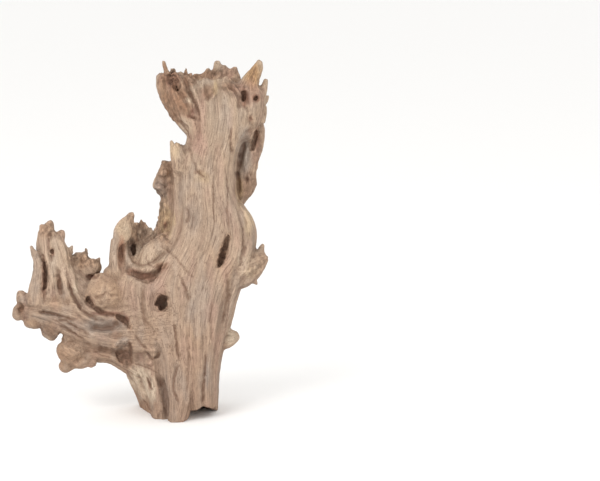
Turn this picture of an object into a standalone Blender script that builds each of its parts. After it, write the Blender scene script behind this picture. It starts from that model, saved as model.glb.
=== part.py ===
"""A weathered driftwood stump that stands on its own foot.

It has a trunk, a forked side branch, a burl, a hollow ear and a torn crown.
The shape is drawn limb by limb on an upright plane through the trunk, in millimetres, as someone standing
in front of the piece sees it. Each limb is a closed tube, a Remesh modifier grows them into one body, cutters
open the hollows, and pushes along the surface raise the ridges and sink the grooves.
"""

import math

import bmesh
import bpy
import numpy as np
from mathutils import Vector

MM = 0.001

# The viewer of the drawing. A drawn point lies on the plane y = 0, and its real place is on the line from
# that point to the eye, as far forward or back as its depth says.
EYE = np.array((183.0, -3704.0, 865.0))
LOOK_DOWN = math.radians(9.0)
FLOOR = 11.5
ORIGIN_X, ORIGIN_Y = -4.0, 12.0

# Marks on the surface are drawn on a sheet: units to the right of its left edge and down from its top.
SHEET_UNIT = 1.5
SHEET_X, SHEET_Y = 178.0, 424.0

# Voxel sizes: of the body, and of the cutters for the wide hollows and for the narrow holes.
GROW_VOXEL = 2.4
HOLLOW_VOXEL = 1.5
HOLE_VOXEL = 1.2

RING_STEP = 5.0
RING_POINTS = 44
MOST_TRIANGLES = 11400

# Points nearer than this to the floor are put on it, in metres.
SNAP = 0.0007

# Holes and slits are cut from here, in front of the whole piece.
HOLE_FRONT = -75.0

# Flutes along the fibres: how wide and how long they run, how high their crests stand, and how deep the
# valleys between them sink. Limbs that the water smoothed have lower ones.
FLUTES = [((26.0, 26.0, 190.0), 3.4, 1.2), ((12.0, 12.0, 120.0), 2.0, 0.75)]
FLUTE_SHARPNESS = 0.8
SMOOTHED = {"trunk": 0.42, "crown": 0.45, "shoulder": 0.3, "ear": 0.3, "heel": 0.6, "toe": 0.6, "sole": 0.6,
            "plate": 0.35, "lobe": 0.6, "left shard": 0.6, "right knob": 0.6, "low knob": 0.4}
FIBRE_REACH = 5.0

# How often the rows of a limb are averaged before its fibres are laid along them: fibres run straighter
# than the limb's outline.
FIBRE_EASE = 60

# The noise is taken this far apart from limb to limb. A limb that counts less than the least is left out.
LIMB_SHIFT = 41.7
LEAST_WEIGHT = 0.02
NOISE_GAIN = 1.6

# How quickly a mark comes in where the skin turns to the viewer, and how it starts and ends along its line.
FACING_GAIN, FACING_BASE = 2.5, 0.2
END_GAIN, END_BASE = 6.0, 0.25

# A torn end: the sizes of its sunken ring and of its middle. A round one: how far it bulges, and its steps.
TORN_RING, TORN_MIDDLE = 0.62, 0.2
ROUND_REACH = 0.5
ROUND_STEPS = (0.0, 0.6, 1.1, 1.4)

# How the width of a torn blade falls from its foot to its tip, and where its rings are.
BLADE_POWER = 1.4
BLADE_STEPS = (0.0, 0.35, 0.65, 0.88, 1.0)

# The finish.
WOOD_COLOUR = (0.48, 0.35, 0.25, 1.0)
WOOD_ROUGHNESS = 0.85

# Rows of an upright limb: height, left edge, right edge, front, back. Depth is negative towards the viewer.
TRUNK = [
    (20, -4, 57, -40, 62), (36, -12, 58, -42, 62), (66, -22, 59, -42, 60), (96, -32, 63, -41, 58),
    (118, -42, 69, -41, 56), (141, -54, 76, -41, 54), (163, -63, 82, -40, 52), (186, -66, 88, -42, 50),
    (208, -63, 96, -42, 48), (228, -54, 104, -41, 46), (246, -39, 113, -40, 44),
    (268, -20, 118, -38, 42), (291, -9, 119, -37, 41), (313, -6, 111, -36, 40), (325, -5, 101, -36, 40),
    (343, -4, 89, -36, 39), (366, -4, 88, -35, 38), (388, -6, 89, -34, 37), (404, 2, 91, -33, 37),
    (418, 14, 95, -32, 37), (434, 17, 103, -31, 37), (448, 16, 108, -30, 38), (464, 15, 110, -28, 39),
    (478, 16, 108, -26, 40), (494, 17, 100, -24, 41), (508, 18, 90, -21, 42), (514, 22, 80, -19, 42),
]
CROWN_RIGHT = [
    (430, 70, 112, -20, 38), (448, 80, 122, -18, 38), (464, 84, 127, -16, 38), (480, 84, 130, -14, 36),
    (494, 84, 128, -10, 34), (504, 84, 122, -6, 32),
]
HEEL = [
    (0, -52, 50, 50, 84), (30, -52, 54, 40, 82), (70, -46, 56, 22, 76), (120, -40, 60, 10, 66),
    (170, -40, 70, 0, 54),
]
SOLE = [(0, -46, 12, -36, 82), (30, -48, 15, -38, 80), (70, -50, 20, -36, 76), (110, -56, 24, -34, 66)]
TOE = [
    (0, -20, 11, -57, 0), (10, -22, 15, -57, 0), (18, -21, 16, -55, 4), (28, -22, 20, -54, 5),
    (45, -23, 22, -51, 6), (66, -25, 24, -48, 6), (96, -28, 24, -44, 6), (120, -32, 24, -38, 6),
]
SPUR = [(380, -6, 18, -31, 8), (400, -9, 16, -29, 6), (412, -11, 12, -26, 4), (420, -6, 4, -23, 0)]
LEFT_SHARD = [
    (255, -48, 0, -10, 34), (276, -43, 0, -4, 34), (293, -38, 0, 0, 34), (308, -37, 0, 2, 34),
    (324, -33, 0, 4, 34), (338, -32, 0, 4, 34), (350, -36, 0, 4, 33), (362, -38, 0, 5, 32),
    (372, -31, 0, 6, 30), (384, -26, -2, 8, 28), (395, -23, -5, 10, 26),
]
RIGHT_SHARD = [
    (322, 88, 94, 14, 30), (329, 86, 99, 8, 34), (339, 84, 107, 6, 37), (351, 82, 114, 5, 39),
    (362, 82, 120, 6, 39), (374, 82, 114, 8, 39), (396, 82, 121, 9, 39), (411, 84, 127, 10, 38),
    (426, 92, 129, 13, 36), (438, 104, 130, 18, 34), (450, 118, 129, 23, 31),
]
SHOULDER = [
    (110, -84, 0, -26, 40), (140, -100, 0, -32, 42), (170, -112, 0, -36, 44), (192, -116, 0, -39, 44),
    (206, -114, 0, -39, 42), (216, -106, -4, -37, 40), (222, -98, -14, -32, 38),
]
EAR = [
    (190, -104, -4, -24, 42), (220, -103, -6, -32, 42), (243, -102, -8, -32, 42),
    (262, -101, -10, -28, 40), (276, -99, -14, -20, 38),
]
PRONG = [
    (165, -212, -122, -26, 16), (185, -209, -134, -30, 10), (200, -206, -143, -31, 7),
    (215, -206, -150, -31, 5), (231, -206, -155, -30, 3), (253, -209, -160, -29, 2),
    (268, -212, -166, -28, 1), (279, -211, -171, -27, 0), (288, -208, -178, -26, -2),
]
LOBE = [
    (412, 19, 36, -18, 34), (424, 18, 38, -22, 36), (434, 14, 40, -23, 37), (442, 7, 40, -24, 38),
    (450, -2, 40, -24, 39), (464, -12, 40, -25, 40), (478, -18, 40, -25, 41), (492, -26, 38, -24, 41),
    (506, -29, 34, -22, 40), (518, -27, 21, -19, 38), (524, -24, 12, -16, 36),
]
BACK_WALL = [(470, 20, 98, 18, 44), (500, 22, 96, 19, 43), (516, 27, 92, 20, 40)]
RIGHT_HORN = [
    (480, 88, 126, -12, 20), (494, 88, 124, -10, 19), (504, 89, 120, -8, 17), (513, 93, 122, -6, 15),
    (521, 101, 126, -4, 13), (530, 109, 129, -2, 11), (537, 115, 130, 0, 10), (543, 120, 128, 2, 8),
]

# Rows of a leaning limb: across, height, depth, half width across its own line, half depth.
BRANCH = [
    (-6, 152, 2, 50, 38), (-42, 148, 0, 56, 37), (-72, 146, -3, 53, 35), (-102, 144, -6, 45, 32),
    (-132, 148, -8, 39, 30), (-162, 158, -9, 34, 27), (-192, 166, -9, 28, 24), (-214, 171, -9, 23, 20),
    (-232, 173, -9, 14, 13),
]
WEB = [
    (-142, 105, -2, 14, 16), (-124, 110, 2, 20, 20), (-100, 109, 6, 20, 24), (-72, 96, 10, 24, 26),
    (-40, 82, 12, 30, 28),
]
FLAP = [
    (-88, 212, -20, 7, 6), (-92, 226, -26, 7, 7), (-95, 242, -28, 6, 7), (-96, 258, -28, 5.5, 6),
    (-94, 271, -26, 5.5, 6), (-86, 279, -24, 14, 5.5), (-82, 290, -20, 15, 5),
    (-76, 300, -14, 12.5, 4.5), (-71, 309, -10, 8, 4), (-68, 317, -7, 4, 3),
]
EAR_RIM = [
    (-80, 278, 2, 4, 8), (-80, 264, -7, 4.5, 8), (-78, 248, -15, 5, 8), (-70, 235, -19, 5.5, 8),
    (-57, 229, -21, 6, 8), (-42, 231, -22, 6, 8), (-27, 239, -22, 6, 8), (-12, 252, -21, 6, 8),
]
THIN_SHARD = [
    (-221, 267, -20, 3, 3.4), (-216, 256, -22, 6.5, 5), (-210, 238, -24, 8, 6), (-212, 218, -24, 10, 8),
    (-214, 200, -22, 13, 11), (-215, 182, -18, 15, 14),
]
PLATE = [
    (-54, 114, 0, 38, 18), (-57, 92, 4, 42, 16), (-53, 74, 8, 45, 15), (-48, 56, 12, 48, 14),
    (-42, 38, 18, 50, 13), (-38, 20, 22, 51, 13), (-36, -8, 25, 52, 13),
]
PLATE_TURN = (45, 55, 62, 68, 72, 74, 75)
SADDLE = [
    (-178, 232, -10, 16, 16), (-160, 212, -10, 18, 17), (-142, 196, -10, 20, 18),
    (-120, 180, -10, 22, 20),
]
RIGHT_KNOB = [
    (76, 238, 2, 36, 34), (94, 237, 2, 34, 30), (105, 239, 1, 28, 25), (113, 242, 0, 22, 18),
    (121, 247, -1, 17, 14), (128, 251, -2, 13, 10), (133, 253, -2, 8, 7),
]
LOW_KNOB = [(58, 126, 8, 19, 16), (72, 127, 9, 17, 14), (82, 129, 9, 13, 11), (88, 131, 9, 8, 8)]

# The pale bowl inside the ear.
EAR_BOWL = [
    (-10, 275, 0, 15, 14), (-27, 263, -5, 18, 15), (-39, 253, -8, 19.5, 14), (-46, 244, -11, 17, 12),
    (-49, 237, -14, 11, 9),
]

# Knobs: across, height, depth, then half sizes across, up and in depth.
KNOBS = [
    (-235, 188, -8, 11, 12, 12), (-241, 165, -10, 10, 13, 13), (-220, 154, -6, 15, 14, 15),
    (-194, 140, 0, 14, 16, 15), (-162, 109, -4, 23, 22, 22), (-170, 85, 0, 12, 10, 12),
    (-148, 90, -2, 16, 9, 16), (-131, 90, -6, 7, 8, 9), (-159, 130, -4, 17, 14, 18),
    (-28, 352, 8, 10, 9, 10), (-22, 376, 10, 9, 8, 10), (-134, 232, 0, 17, 16, 15),
    (-150, 246, 2, 14, 12, 12), (-127, 236, -2, 12, 11, 12), (-112, 196, -24, 30, 29, 22),
    (-92, 224, -8, 22, 14, 22), (58, 214, 44, 22, 26, 22), (14, 345, 34, 18, 40, 12),
    (30, 250, 40, 34, 60, 14), (-60, 190, 36, 40, 34, 14),
]

# Shards: foot (across, height, depth), tip (across, height, depth), half width and half depth at the foot.
SHARDS = [
    ((-11, 510, -6), (-20, 541, -10), 5, 5, 0.6), ((-4, 512, 22), (-5, 530, 22), 8, 8, 0.8),
    ((12, 508, 20), (13, 533, 20), 8, 8, 0.5), ((18, 500, -6), (20, 523, -4), 8, 6, 0.6),
    ((-22, 505, 8), (-25, 520, 12), 8, 9, 0.7), ((30, 500, 30), (31, 521, 30), 9, 7, 0.8),
    ((40, 504, 30), (42, 524, 32), 8, 6, 0.6), ((50, 506, 30), (46, 531, 32), 8, 6, 0.5),
    ((62, 508, 28), (60, 541, 30), 12, 8, 0.4), ((70, 506, 30), (67, 533, 32), 12, 8, 0.6),
    ((80, 506, 30), (77, 527, 32), 12, 8, 0.8), ((87, 502, 30), (87, 533, 30), 8, 7, 0.5),
    ((93, 495, 28), (91, 523, 28), 8, 7, 0.5), ((122, 480, 10), (133, 514, 14), 9, 8),
    ((120, 470, 16), (136, 490, 20), 8, 7), ((124, 452, 8), (132, 474, 12), 8, 8),
    ((-194, 278, -14), (-190, 303, -14), 11, 9, 0.6), ((-200, 276, -15), (-202, 298, -16), 9, 8, 0.8),
    ((-179, 268, -12), (-174, 289, -12), 9, 8, 0.7), ((-165, 252, -12), (-158, 268, -12), 6, 7),
    ((-155, 230, -10), (-148, 250, -10), 7, 7), ((-140, 240, 0), (-139, 264, 0), 7, 6),
    ((-124, 236, -2), (-118, 250, -2), 7, 7), ((110, 226, 0), (118, 208, -4), 9, 9, 0.3),
    ((120, 252, -4), (128, 269, -6), 7, 8, 0.4), ((104, 228, -6), (106, 213, -8), 9, 9, 0.4),
    ((-7, 408, -12), (-9, 424, -14), 4, 6, 0.5), ((4, 404, -8), (6, 418, -8), 5, 6, 0.4),
    ((-66, 82, 0), (-82, 89, -2), 9, 8), ((60, 222, 46), (72, 236, 76), 17, 15, 0.6),
    ((10, 120, 56), (4, 60, 84), 22, 16, 0.7), ((30, 40, 70), (42, 260, 44), 20, 14, 0.5),
]
EAR_SHARDS = [
    ((-60, 262, 22), (-64, 301, 18), 9, 6, 0.6), ((-70, 262, 12), (-67, 299, 8), 7, 6, 0.7),
    ((-53, 266, 24), (-56, 307, 22), 7, 5), ((-46, 266, 24), (-48, 303, 22), 7, 5),
    ((-38, 262, 24), (-42, 294, 22), 8, 5), ((-28, 262, 24), (-34, 288, 22), 9, 6),
    ((-72, 262, 18), (-72, 288, 16), 8, 5),
]

# Cutters for holes seen from the front: across, height, depth of the hole's floor, half width, half height.
HOLES = [
    (-25, 181, -18, 8.5, 11.5), (99, 490, -3, 4.5, 11), (117, 486, -2, 4.5, 5.5),
    (110, 456, -10, 2.5, 4.5), (-10, 515, -15, 11, 9), (0, 506, -15, 8, 9), (-12, 501, -18, 5, 8),
    (-178.5, 130, 30, 3, 6), (-189, 258, -20, 2.5, 4), (-191, 284, -20, 2.5, 4),
    (-136, 186, -22, 3.5, 5), (-237, 174, -16, 5, 8), (-67, 262, 14, 5, 12),
]

# Cutters that follow a line: rows of a leaning limb.
SLITS = [
    [(76, 284, -38, 1.2, 12), (72, 270, -38, 3.2, 17), (67, 254, -38, 5.0, 19),
     (63, 243, -38, 5.4, 19), (62, 235, -38, 2, 14)],
    [(-16, 305, -4, 1.5, 10), (-18, 299, -4, 3, 12), (-22, 292, -4, 1.5, 10)],
    [(-205, 252, -30, 1.5, 10), (-199, 236, -30, 2.6, 16), (-199, 214, -30, 3.0, 16),
     (-204, 191, -30, 1.2, 8)],
    [(-182, 224, -34, 1.2, 6), (-179, 208, -34, 2.4, 9), (-177, 196, -34, 1.2, 6)],
    [(-50, 67, -30, 1.2, 10), (-46, 58, -30, 2.2, 12), (-41, 49, -30, 1.2, 10)],
    [(118, 442, 14, 1.5, 8), (116, 426, 12, 3.6, 10), (112, 411, 8, 3, 10)],
    [(-139, 190, -34, 1.5, 8), (-134, 184, -32, 3.2, 12), (-128, 177, -34, 1.5, 8)],
    [(-94, 160, -36, 1.2, 7), (-84, 157, -35, 2.6, 10), (-76, 149, -36, 2.6, 9),
     (-73, 142, -38, 1.2, 7)],
]
EAR_CAVITY = [
    (-54, 340, 4, 36, 34), (-54, 300, 2, 36, 32), (-53, 282, -4, 36, 27), (-53, 270, -11, 37, 21),
    (-52, 258, -19, 37, 16), (-52, 247, -25, 36, 13), (-51, 237, -29, 33, 12), (-49, 227, -31, 27, 11),
    (-47, 219, -33, 18, 9), (-46, 213, -35, 8, 6),
]
LOBE_CAVITY = [
    (4, 560, 10, 22, 18), (3, 530, 9, 21, 17), (1, 510, 6, 18, 16), (2, 494, 2, 13, 13),
    (4, 482, 0, 7, 8),
]
CROWN_CAVITY = [
    (56, 560, 6, 32, 13), (56, 525, 5, 30, 12), (56, 505, 4, 27, 11), (56, 488, 3, 20, 9),
    (58, 476, 2, 10, 5),
]
GROTTO = [
    (-77, 74, -30, 6, 8), (-79, 86, -27, 11, 16), (-82, 98, -27, 14, 18), (-84, 110, -32, 12, 14),
    (-81, 121, -38, 7, 8),
]

# Marks on the surface that the viewer sees: whether it sinks (-1) or rises (1), half width, depth or
# height, then the line on the drawing's sheet.
MARKS = [
    (-1, 6.5, 8, [(158, 378), (161.5, 389), (163.5, 402), (164.5, 426)]),
    (-1, 3.5, 4.5, [(205.5, 356), (204.5, 375), (202.3, 386), (202.3, 410)]),
    (-1, 3.5, 3, [(173, 322), (176, 343), (178, 362)]),
    (-1, 3.5, 2.5, [(176, 366), (172.5, 380), (172, 392), (178, 406)]),
    (1, 4, 3, [(146, 371), (152.5, 380), (156.5, 392), (159, 416)]),
    (1, 3.5, 2.5, [(133, 374), (138, 388), (143, 401)]),
    (-1, 3, 3, [(137, 376), (142, 390), (147, 405)]),
    (-1, 3.5, 4, [(145, 353), (148, 358), (153, 360), (157, 357), (158.5, 353)]),
    (1, 7, 5, [(145, 349), (151, 351), (156, 350)]),
    (1, 5, 3.5, [(143, 362), (149, 365), (152, 361)]),
    (-1, 4, 4, [(134, 335), (140, 345), (147, 351)]),
    (-1, 3, 1.6, [(160, 245), (170.5, 253.5), (178, 261), (186, 271), (194, 279)]),
    (-1, 4, 2, [(177.5, 273), (183, 283), (186, 294), (190, 302)]),
    (1, 6, 1.5, [(165, 258), (176, 270), (181, 284), (181, 300)]),
    (-1, 5, 3.5, [(143, 288), (141.5, 302), (143, 318), (146, 326)]),
    (1, 5, 3, [(148, 290), (147, 304), (149, 320)]),
    (-1, 4.5, 5, [(68, 285), (74, 299), (80.5, 310), (88, 316), (95, 320)]),
    (1, 5, 4, [(72, 270), (73, 286), (79, 298), (86, 307), (97, 315), (110, 323)]),
    (1, 6, 4, [(63, 270), (65, 288), (72, 305), (84, 317), (100, 327)]),
    (-1, 5, 7, [(84, 302), (93, 309), (107, 314), (119, 317), (127, 321)]),
    (-1, 4, 4, [(36, 311.5), (50, 313.5), (63, 317.5), (74, 321)]),
    (-1, 4, 4, [(55, 320), (65, 321), (78, 329.5), (88, 335)]),
    (-1, 4, 4, [(57, 325), (70, 333), (80.5, 340), (90, 348)]),
    (1, 5, 3, [(24, 312), (45, 318), (66, 328), (84, 341)]),
    (-1, 8, 7, [(89, 328), (101, 329), (112, 327), (119, 322)]),
    (1, 7, 4, [(90, 338), (104, 340), (118, 342), (130, 342)]),
    (-1, 7, 6, [(95, 350), (108, 352), (120, 356)]),
    (-1, 4, 2.5, [(92, 297), (100, 298), (105.5, 293), (111, 296), (118, 295)]),
    (1, 5, 2, [(94, 303), (101, 306), (109, 304)]),
    (1, 5, 2, [(96, 286), (103, 283), (108, 287)]),
    (-1, 4, 5, [(87, 276), (95, 277.5), (100, 272)]),
    (-1, 5, 5, [(57, 268), (59, 284), (61, 298)]),
    (1, 5, 3, [(51, 262), (52, 280), (50, 300)]),
    (1, 4, 3, [(62, 240), (66, 262), (67, 284)]),
    (-1, 4, 3, [(48, 232), (49, 250), (52, 262)]),
    (-1, 4, 3, [(185, 78), (190, 92), (198, 108), (201, 122)]),
    (1, 5, 4, [(190, 80), (196, 95), (203, 112), (204, 135)]),
    (-1, 5, 5, [(176, 88), (184, 98), (190, 108)]),
    (-1, 3, 3, [(188, 113), (192, 118), (198, 120)]),
    (1, 4, 3, [(161, 95), (170, 112), (180, 126), (188, 136)]),
    (-1, 3, 3, [(167, 106), (178, 120), (190, 130)]),
    (1, 4, 3, [(214, 82), (218, 92), (211, 103)]),
    (1, 4, 2.5, [(202, 84), (203, 96), (208, 104)]),
    (-1, 5, 4, [(227, 86), (236, 92), (240, 100), (240, 112)]),
    (-1, 4, 2.5, [(232, 128), (231, 141), (233, 155)]),
    (-1, 9, 6, [(254, 127), (247, 140), (241, 155), (239, 172)]),
    (-1, 4, 4, [(237.5, 174), (239, 186), (240, 204)]),
    (1, 4, 3, [(247, 145), (245, 160), (246, 176)]),
    (-1, 3, 2, [(196, 169), (200, 174), (205, 178)]),
    (-1, 4, 1.5, [(190, 148), (193, 160), (198, 171)]),
    (-1, 4, 3, [(187, 208), (189, 216), (186, 224)]),
    (1, 5, 3, [(243, 208), (249, 222), (250, 242), (247, 258)]),
    (-1, 4, 3, [(238, 212), (243, 228), (244, 248), (240, 266)]),
    (-1, 4, 2, [(226, 270), (228, 285), (226, 305), (222, 325)]),
    (1, 5, 3.5, [(236, 282), (231, 300), (226, 322), (222, 340)]),
    (-1, 4, 1.5, [(212, 300), (210, 320), (212, 345)]),
    (1, 6, 1.5, [(196, 300), (198, 330), (197, 360), (196, 400)]),
    (-1, 4, 1.5, [(187, 330), (188, 360), (186, 395)]),
    (1, 5, 2, [(213, 350), (212, 380), (212, 408)]),
]

# Spots pushed in or out: across and down on the sheet, half sizes across and up, height.
SPOTS = [
    (161, 303, 24, 26, -5), (190, 270, 30, 60, 4), (52, 300, 30, 20, 4), (105, 295, 30, 26, 4),
    (225, 250, 14, 34, -3), (206, 92, 12, 14, -6), (209, 99, 7, 9, -4), (212, 200, 40, 60, 3),
    (115, 338, 20, 12, -5), (120, 355, 16, 14, -6), (248, 172, 14, 20, -3), (192, 222, 10, 22, -3),
    (174, 80, 16, 12, -5),
]


def from_drawing(points):
    """Places drawn points (across, depth, height), in millimetres, in the world, in metres."""
    across, depth, height = points[:, 0], points[:, 1], points[:, 2] / math.cos(LOOK_DOWN)
    nearer = depth / EYE[1]
    x = across + nearer * (EYE[0] - across)
    z = height + nearer * (EYE[2] - height)
    return np.column_stack((x - ORIGIN_X, depth - ORIGIN_Y, z - FLOOR)) * MM


def from_sheet(points):
    """Points of the sheet as across and height in millimetres."""
    points = np.array(points, float)
    return np.column_stack(((points[:, 0] - SHEET_X) * SHEET_UNIT, (SHEET_Y - points[:, 1]) * SHEET_UNIT))


def upright(rows):
    """Rows of height, left, right, front and back as rows of a leaning limb."""
    return [((a + b) / 2, height, (front + back) / 2, (b - a) / 2, (back - front) / 2)
            for height, a, b, front, back in rows]


def resampled(rows, step=RING_STEP):
    """The rows with more between them, about a step apart, softened so that no row leaves a corner."""
    rows = np.array(rows, float)
    lengths = np.linalg.norm(np.diff(rows[:, :3], axis=0), axis=1)
    along = np.concatenate(([0.0], np.cumsum(lengths)))
    count = max(4, int(along[-1] / step) + 1)
    wanted = np.linspace(0.0, along[-1], count)
    fine = np.column_stack([np.interp(wanted, along, column) for column in rows.T])
    for _ in range(2):
        fine[1:-1] = (fine[:-2] + 2 * fine[1:-1] + fine[2:]) / 4
    return fine


class Limb:
    """A closed tube whose rings follow rows of a drawn line."""

    def __init__(self, rows, level=False, square=2.4, flute=0.05, seed=0, turn=None,
                 ends=("round", "round"), jag=6.0):
        self.path = resampled(rows)
        self.square = square
        self.flute = flute
        self.level = level
        self.ends = ends
        self.jag = jag
        self.random = np.random.default_rng(seed)
        self.waves = [(count, self.random.uniform(0, 6.28), self.random.uniform(-0.008, 0.008))
                      for count in (3, 5, 7, 11)]
        self.centres = self.path[:, [0, 2, 1]]
        self.eased = self.path.copy()
        for _ in range(FIBRE_EASE):
            self.eased[1:-1] = (self.eased[:-2] + 2 * self.eased[1:-1] + self.eased[2:]) / 4
        self.tangents = np.gradient(self.centres, axis=0)
        if level:
            up = math.copysign(1.0, self.centres[-1, 2] - self.centres[0, 2])
            self.tangents = np.tile((0.0, 0.0, up), (len(self.path), 1))
        self.tangents /= np.linalg.norm(self.tangents, axis=1)[:, None]
        sides = np.cross((0.0, 1.0, 0.0), self.tangents)
        sides /= np.maximum(np.linalg.norm(sides, axis=1), 1e-6)[:, None]
        sides[np.abs(self.tangents[:, 1]) > 0.97] = (1.0, 0.0, 0.0)
        deeps = np.cross(self.tangents, sides)
        angle = np.zeros(len(self.path))
        if turn is not None:
            place = np.linspace(0, len(turn) - 1, len(self.path))
            angle = np.radians(np.interp(place, range(len(turn)), turn))
        cosine, sine = np.cos(angle)[:, None], np.sin(angle)[:, None]
        self.sides = sides * cosine + deeps * sine
        self.deeps = deeps * cosine - sides * sine

    def rings(self):
        """The rings of points from end to end, with those that close the tube."""
        angle = np.linspace(0, 2 * math.pi, RING_POINTS, endpoint=False)
        power = 2.0 / self.square
        out_x = np.sign(np.cos(angle)) * np.abs(np.cos(angle)) ** power
        out_y = np.sign(np.sin(angle)) * np.abs(np.sin(angle)) ** power
        made = []
        for row, centre, side, deep in zip(self.path, self.centres, self.sides, self.deeps):
            swell = 1 + self.flute * sum(np.cos(n * angle + phase + drift * centre[2]) / 2
                                         for n, phase, drift in self.waves)
            across = np.outer(out_x * row[3] * swell, side)
            made.append(centre + across + np.outer(out_y * row[4] * swell, deep))
        first = self.closing(made[0], -self.tangents[0], min(self.path[0, 3:5]), self.ends[0])
        last = self.closing(made[-1], self.tangents[-1], min(self.path[-1, 3:5]), self.ends[1])
        return first[::-1] + made[1:-1] + last

    def closing(self, ring, outward, thickness, kind):
        """The last ring and those that close it: a rounded end, or a torn one with a sunken middle."""
        middle = ring.mean(axis=0)
        if kind == "torn":
            teeth = self.random.uniform(-self.jag, self.jag, len(ring))[:, None] * outward
            sunk = self.random.uniform(-self.jag, 0.0, len(ring))[:, None] * outward
            inner = middle + (ring - middle) * TORN_RING + sunk
            return [ring + teeth, inner, middle + (ring - middle) * TORN_MIDDLE - outward * self.jag]
        reach = ROUND_REACH * thickness
        return [middle + (ring - middle) * math.cos(t) + outward * reach * math.sin(t)
                for t in ROUND_STEPS]

    def add_to(self, bm):
        """Adds the tube to a mesh."""
        made = [[bm.verts.new(point) for point in ring] for ring in self.rings()]
        count = len(made[0])
        for below, above in zip(made, made[1:]):
            for i in range(count):
                j = (i + 1) % count
                bm.faces.new((below[i], below[j], above[j], above[i]))
        for ring, flip in ((made[0], True), (made[-1], False)):
            centre = bm.verts.new(sum((v.co for v in ring), Vector()) / count)
            for i in range(count):
                pair = (ring[i], ring[(i + 1) % count])
                bm.faces.new((pair[1], pair[0], centre) if flip else (pair[0], pair[1], centre))

    def fibres(self, points):
        """Distance out of the limb, and place across, through and along its fibres, all in millimetres."""
        if self.level:
            low, high = sorted((self.centres[0, 2], self.centres[-1, 2]))
            beyond = np.maximum(0.0, np.maximum(low - points[:, 2], points[:, 2] - high))
            order = np.argsort(self.centres[:, 2])
            keys, spot, along = self.centres[order, 2], points[:, 2], points[:, 2]
        else:
            order = np.arange(len(self.path))
            nearest = np.empty(len(points), int)
            for start in range(0, len(points), 20000):
                block = points[start:start + 20000]
                distances = ((block[:, None, :] - self.centres[None]) ** 2).sum(axis=2)
                nearest[start:start + 20000] = np.argmin(distances, axis=1)
            steps = np.linalg.norm(np.diff(self.centres, axis=0), axis=1)
            keys = np.concatenate(([0.0], np.cumsum(steps)))
            offset = points - self.centres[nearest]
            along = keys[nearest] + np.einsum("ij,ij->i", offset, self.tangents[nearest])
            beyond = np.maximum(0.0, np.maximum(-along, along - keys[-1]))
            spot = along
        at = [np.interp(spot, keys, column[order]) for column in
              (*self.centres.T, *self.sides.T, *self.deeps.T, *self.path[:, 3:5].T)]
        offset = points - np.column_stack(at[0:3])
        side, deep = np.column_stack(at[3:6]), np.column_stack(at[6:9])
        across = np.einsum("ij,ij->i", offset, side) / np.maximum(at[9], 1.0)
        through = np.einsum("ij,ij->i", offset, deep) / np.maximum(at[10], 1.0)
        radius = (np.abs(across) ** self.square + np.abs(through) ** self.square) ** (1 / self.square)
        out = np.maximum(0.0, radius - 1) * np.minimum(at[9], at[10]) + beyond
        if self.level:
            x, _, y, half_x, half_y = (np.interp(spot, keys, column[order]) for column in self.eased.T)
            across, through = (points[:, 0] - x) / half_x, (points[:, 1] - y) / half_y
        return out, across * self.path[:, 3].mean(), through * self.path[:, 4].mean(), along


class Grain:
    """Smooth seeded noise in space, between -1 and 1."""

    def __init__(self, seed):
        random = np.random.default_rng(seed)
        self.order = np.tile(random.permutation(256), 3)
        slopes = random.normal(size=(256, 3))
        self.slopes = slopes / np.linalg.norm(slopes, axis=1)[:, None]

    def __call__(self, points):
        cell = np.floor(points).astype(int)
        part = points - cell
        blend = part * part * part * (part * (part * 6 - 15) + 10)
        total = np.zeros(len(points))
        for i in (0, 1):
            for j in (0, 1):
                for k in (0, 1):
                    corner = (cell + (i, j, k)) & 255
                    pick = self.order[self.order[self.order[corner[:, 0]] + corner[:, 1]] + corner[:, 2]]
                    slope = np.einsum("ij,ij->i", self.slopes[pick], part - (i, j, k))
                    total += slope * np.abs(np.prod(1 - np.array((i, j, k)) - blend, axis=1))
        return total * NOISE_GAIN


def add_shard(bm, foot, tip, half_width, half_depth, blunt=0.36):
    """Adds a blade of torn wood that narrows to its tip, the more the less blunt it is."""
    foot, tip = np.array(foot, float), np.array(tip, float)
    rows = []
    for share in BLADE_STEPS:
        x, u, y = foot + (tip - foot) * share
        width = 1 - (1 - blunt) * share ** BLADE_POWER
        rows.append((x, u, y, half_width * width, half_depth * width))
    Limb(rows, square=2.0, flute=0.08, seed=int(abs(foot[0]) + foot[1])).add_to(bm)


def add_knob(bm, x, u, y, half_x, half_u, half_y):
    """Adds a lump, uneven as an old callus is."""
    made = bmesh.ops.create_icosphere(bm, subdivisions=3, radius=1.0)["verts"]
    for v in made:
        a, b, c = v.co
        swell = 1 + 0.06 * math.sin(3.1 * a + 2.3 * c + 0.05 * x)
        swell += 0.05 * math.sin(4.3 * b - 3.7 * a + 0.07 * u)
        v.co = (x + a * half_x * swell, y + b * half_y * swell, u + c * half_u * swell)


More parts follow.
